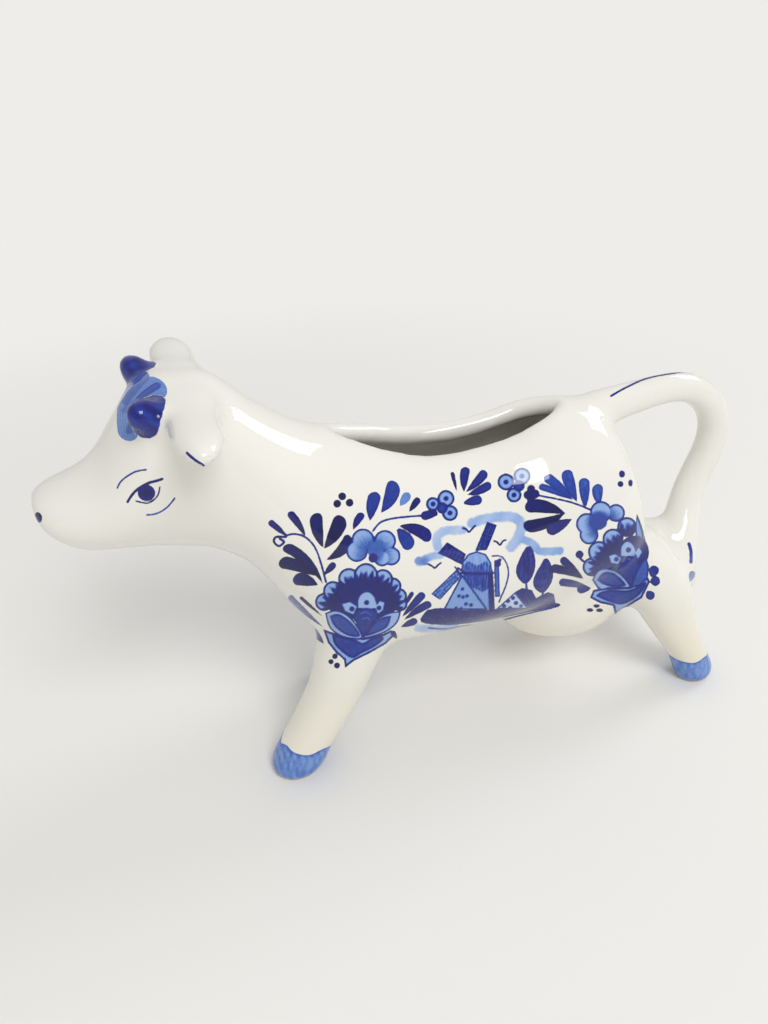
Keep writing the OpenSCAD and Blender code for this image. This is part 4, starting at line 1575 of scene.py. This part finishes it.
    def press_valley(self, skin: Skin) -> None:
        """Presses the shallow valley in front of each haunch.

        Args:
            skin: The skin.
        """
        at = skin.at / MM
        at[:, 1:] = np.abs(at[:, 1:])
        line = along_curve(self.valley_mm, 4)
        best = np.full(len(at), np.inf)
        for start, end in zip(line, line[1:]):
            way = end - start
            t = np.clip((at - start) @ way / (way @ way), 0, 1)
            best = np.minimum(best, np.linalg.norm(at - start - t[:, None] * way, axis=1))
        out = skin.normals()
        outer = out[:, 1] * np.sign(skin.at[:, 1]) > 0.1
        dent = self.valley_deep_mm * np.exp(-((best / self.valley_wide_mm) ** 2)) * outer
        skin.at -= MM * dent[:, None] * out

    @staticmethod
    def faces_eye(tree: BVHTree, vert: bmesh.types.BMVert, eye: Vector) -> float:
        """Tells how squarely a point faces an eye that nothing hides from it.

        Args:
            tree: The whole skin.
            vert: The point.
            eye: The eye's place.

        Returns:
            The cosine of the angle, or 0 where it is turned away or hidden.
        """
        least, off_mm, on_mm = 0.02, 0.4, 0.2
        way = (eye - vert.co).normalized()
        square = way.dot(vert.normal)
        if square <= least or tree.ray_cast(vert.co + vert.normal * off_mm * MM + way * on_mm * MM, way)[0]:
            return 0.0
        return square

    def dipped(self, bm: bmesh.types.BMesh) -> dict[str, np.ndarray]:
        """Tells how far inside the washed hooves and horns the points lie.

        Args:
            bm: The skin.

        Returns:
            Depths in the photograph's pixels for each of the two.
        """
        at = np.array([v.co for v in bm.verts]) / MM
        near = np.minimum(self.distance_to("horn_left", bm), self.distance_to("horn_right", bm))
        return {
            "hoof": (self.hoof_mm + ripple(self.hoof_edge, at) - at[:, 2]) / MM_PER_PX,
            "horn": (self.horn_reach_mm - near) / MM_PER_PX,
        }

    def laid(self, bm: bmesh.types.BMesh) -> tuple[np.ndarray, np.ndarray, np.ndarray]:
        """Lays the painting on the points of the skin.

        Args:
            bm: The skin with its "seen" layer.

        Returns:
            Depth inside the paint, its thickness and the distance to the nearest brush edge.
        """
        layer = bm.verts.layers.float_vector["seen"]
        at = np.array([v.co for v in bm.verts])
        seen = np.array([v[layer] for v in bm.verts])
        view = ViewPoint()
        mirrored = np.column_stack((at[:, 0], -np.abs(at[:, 1]), at[:, 2]))
        sides = Brush(view.pixels(mirrored))
        sides.lay(FlankPainting().strokes() + FacePainting().sides())
        middle = Brush(view.pixels(at))
        middle.lay(FacePainting().middle())
        edge = np.where(seen[:, 0] > self.facing, sides.edge, -REACH)
        detail = np.where(seen[:, 0] > self.facing, sides.detail, REACH)
        tone = sides.tone.copy()
        for depth in self.dipped(bm).values():
            detail = np.minimum(detail, np.abs(depth))
        use = (middle.edge > edge) & (seen[:, 1] > self.facing)
        edge[use], tone[use] = middle.edge[use], middle.tone[use]
        detail[use] = np.minimum(detail[use], middle.detail[use])
        return edge, tone, detail

    def refine(self, bm: bmesh.types.BMesh) -> None:
        """Gives the skin finer points where a brush edge passes.

        Args:
            bm: The skin.
        """
        for reach_px, shortest_mm in self.finer:
            fine = self.laid(bm)[2] < reach_px
            edges = [
                e for e in bm.edges
                if (fine[e.verts[0].index] or fine[e.verts[1].index]) and e.calc_length() > shortest_mm * MM
            ]
            bmesh.ops.subdivide_edges(bm, edges=edges, cuts=1, use_grid_fill=True)
            bm.verts.index_update()
            log.info("skin now has %d points", len(bm.verts))

    def paint(self, bm: bmesh.types.BMesh) -> None:
        """Stores the painting on the skin's points.

        Args:
            bm: The skin.
        """
        edge, tone, _ = self.laid(bm)
        at = np.array([v.co for v in bm.verts]) / MM
        dips = self.dipped(bm)
        pool = self.hoof_pool * (1 - between(*self.hoof_pool_px, dips["hoof"]))
        for name, thick, over in (
            ("hoof", self.hoof_tone + ripple(self.hoof_streaks, at) + pool, edge),
            ("horn", self.horn_tone + ripple(self.horn_streaks, at), self.horn_over_px),
        ):
            washed = dips[name] > over
            edge, tone = np.where(washed, dips[name], edge), np.where(washed, thick, tone)
        edge_layer = bm.verts.layers.float.new("edge")
        tone_layer = bm.verts.layers.float.new("tone")
        for vert, depth_mm, thick in zip(bm.verts, np.clip(edge, -REACH, REACH) * MM_PER_PX, tone):
            vert[edge_layer] = depth_mm
            vert[tone_layer] = thick

    @staticmethod
    def distance_to(node: str, bm: bmesh.types.BMesh) -> np.ndarray:
        """Measures how far the skin's points are from a clay piece, in millimetres.

        Args:
            node: The clay piece's name.
            bm: The skin.

        Returns:
            One distance for each point, no more than 20.
        """
        clay = bmesh.new()
        clay.from_mesh(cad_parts[node].data)
        tree = BVHTree.FromBMesh(clay)
        clay.free()
        far = 20 * MM
        found = (tree.find_nearest(v.co, far)[3] for v in bm.verts)
        return np.array([(far if away is None else away) / MM for away in found])

    def build(self, glaze: bpy.types.Material) -> list[bpy.types.Object]:
        """Sculpts, paints and glazes the casting.

        Args:
            glaze: The finish of the whole skin.

        Returns:
            The finished pieces.
        """
        bm = self.fused()
        self.sculpt(bm)
        self.refine(bm)
        self.paint(bm)
        log.info("skin has %d faces", len(bm.faces))
        legs = self.leg_cut.part(bm)
        head = self.neck_cut.part(bm)
        left = self.seam.part(bm)
        horns = {node: cut.part(head) for node, cut in self.horn_cuts}
        members = {
            "barrel_left_glazed": (left, self.barrel_nodes),
            "barrel_right_glazed": (bm, self.barrel_nodes),
            "head_glazed": (head, self.head_nodes),
        }
        for node in self.legs:
            low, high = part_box(node)
            middle = (Vector(low) + Vector(high)) / 2
            members[f"{node}_glazed"] = (self.nearest_island(legs, middle), (node,))
        members |= {f"{node}_glazed": (horn, (node,)) for node, horn in horns.items()}
        legs.free()
        pieces = []
        for name, (member, nodes) in members.items():
            piece = as_object(member, name, glaze)
            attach(piece, BODY)
            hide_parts(*nodes)
            log.info("%s done", name)
            pieces.append(piece)
        return pieces

    @staticmethod
    def nearest_island(bm: bmesh.types.BMesh, place: Vector) -> bmesh.types.BMesh:
        """Copies the closed island of a mesh that is nearest to a place.

        Args:
            bm: A mesh of several islands.
            place: The place.

        Returns:
            The island alone.
        """
        island = bm.copy()
        start = min(island.verts, key=lambda v: (v.co - place).length)
        found, edge = {start}, {start}
        while edge:
            edge = {e.other_vert(v) for v in edge for e in v.link_edges} - found
            found |= edge
        bmesh.ops.delete(island, geom=[v for v in island.verts if v not in found], context="VERTS")
        return island


def main() -> None:
    """Builds the camera, the studio and the cow."""
    logging.basicConfig(level=logging.INFO, format="%(message)s")
    ViewPoint().make()
    log.info("camera at the photograph's angle")
    Studio().make()
    log.info("studio with floor and lamps")
    Casting().build(CobaltGlaze().material())
    log.info("casting glazed")


if __name__ == "__main__":
    main()
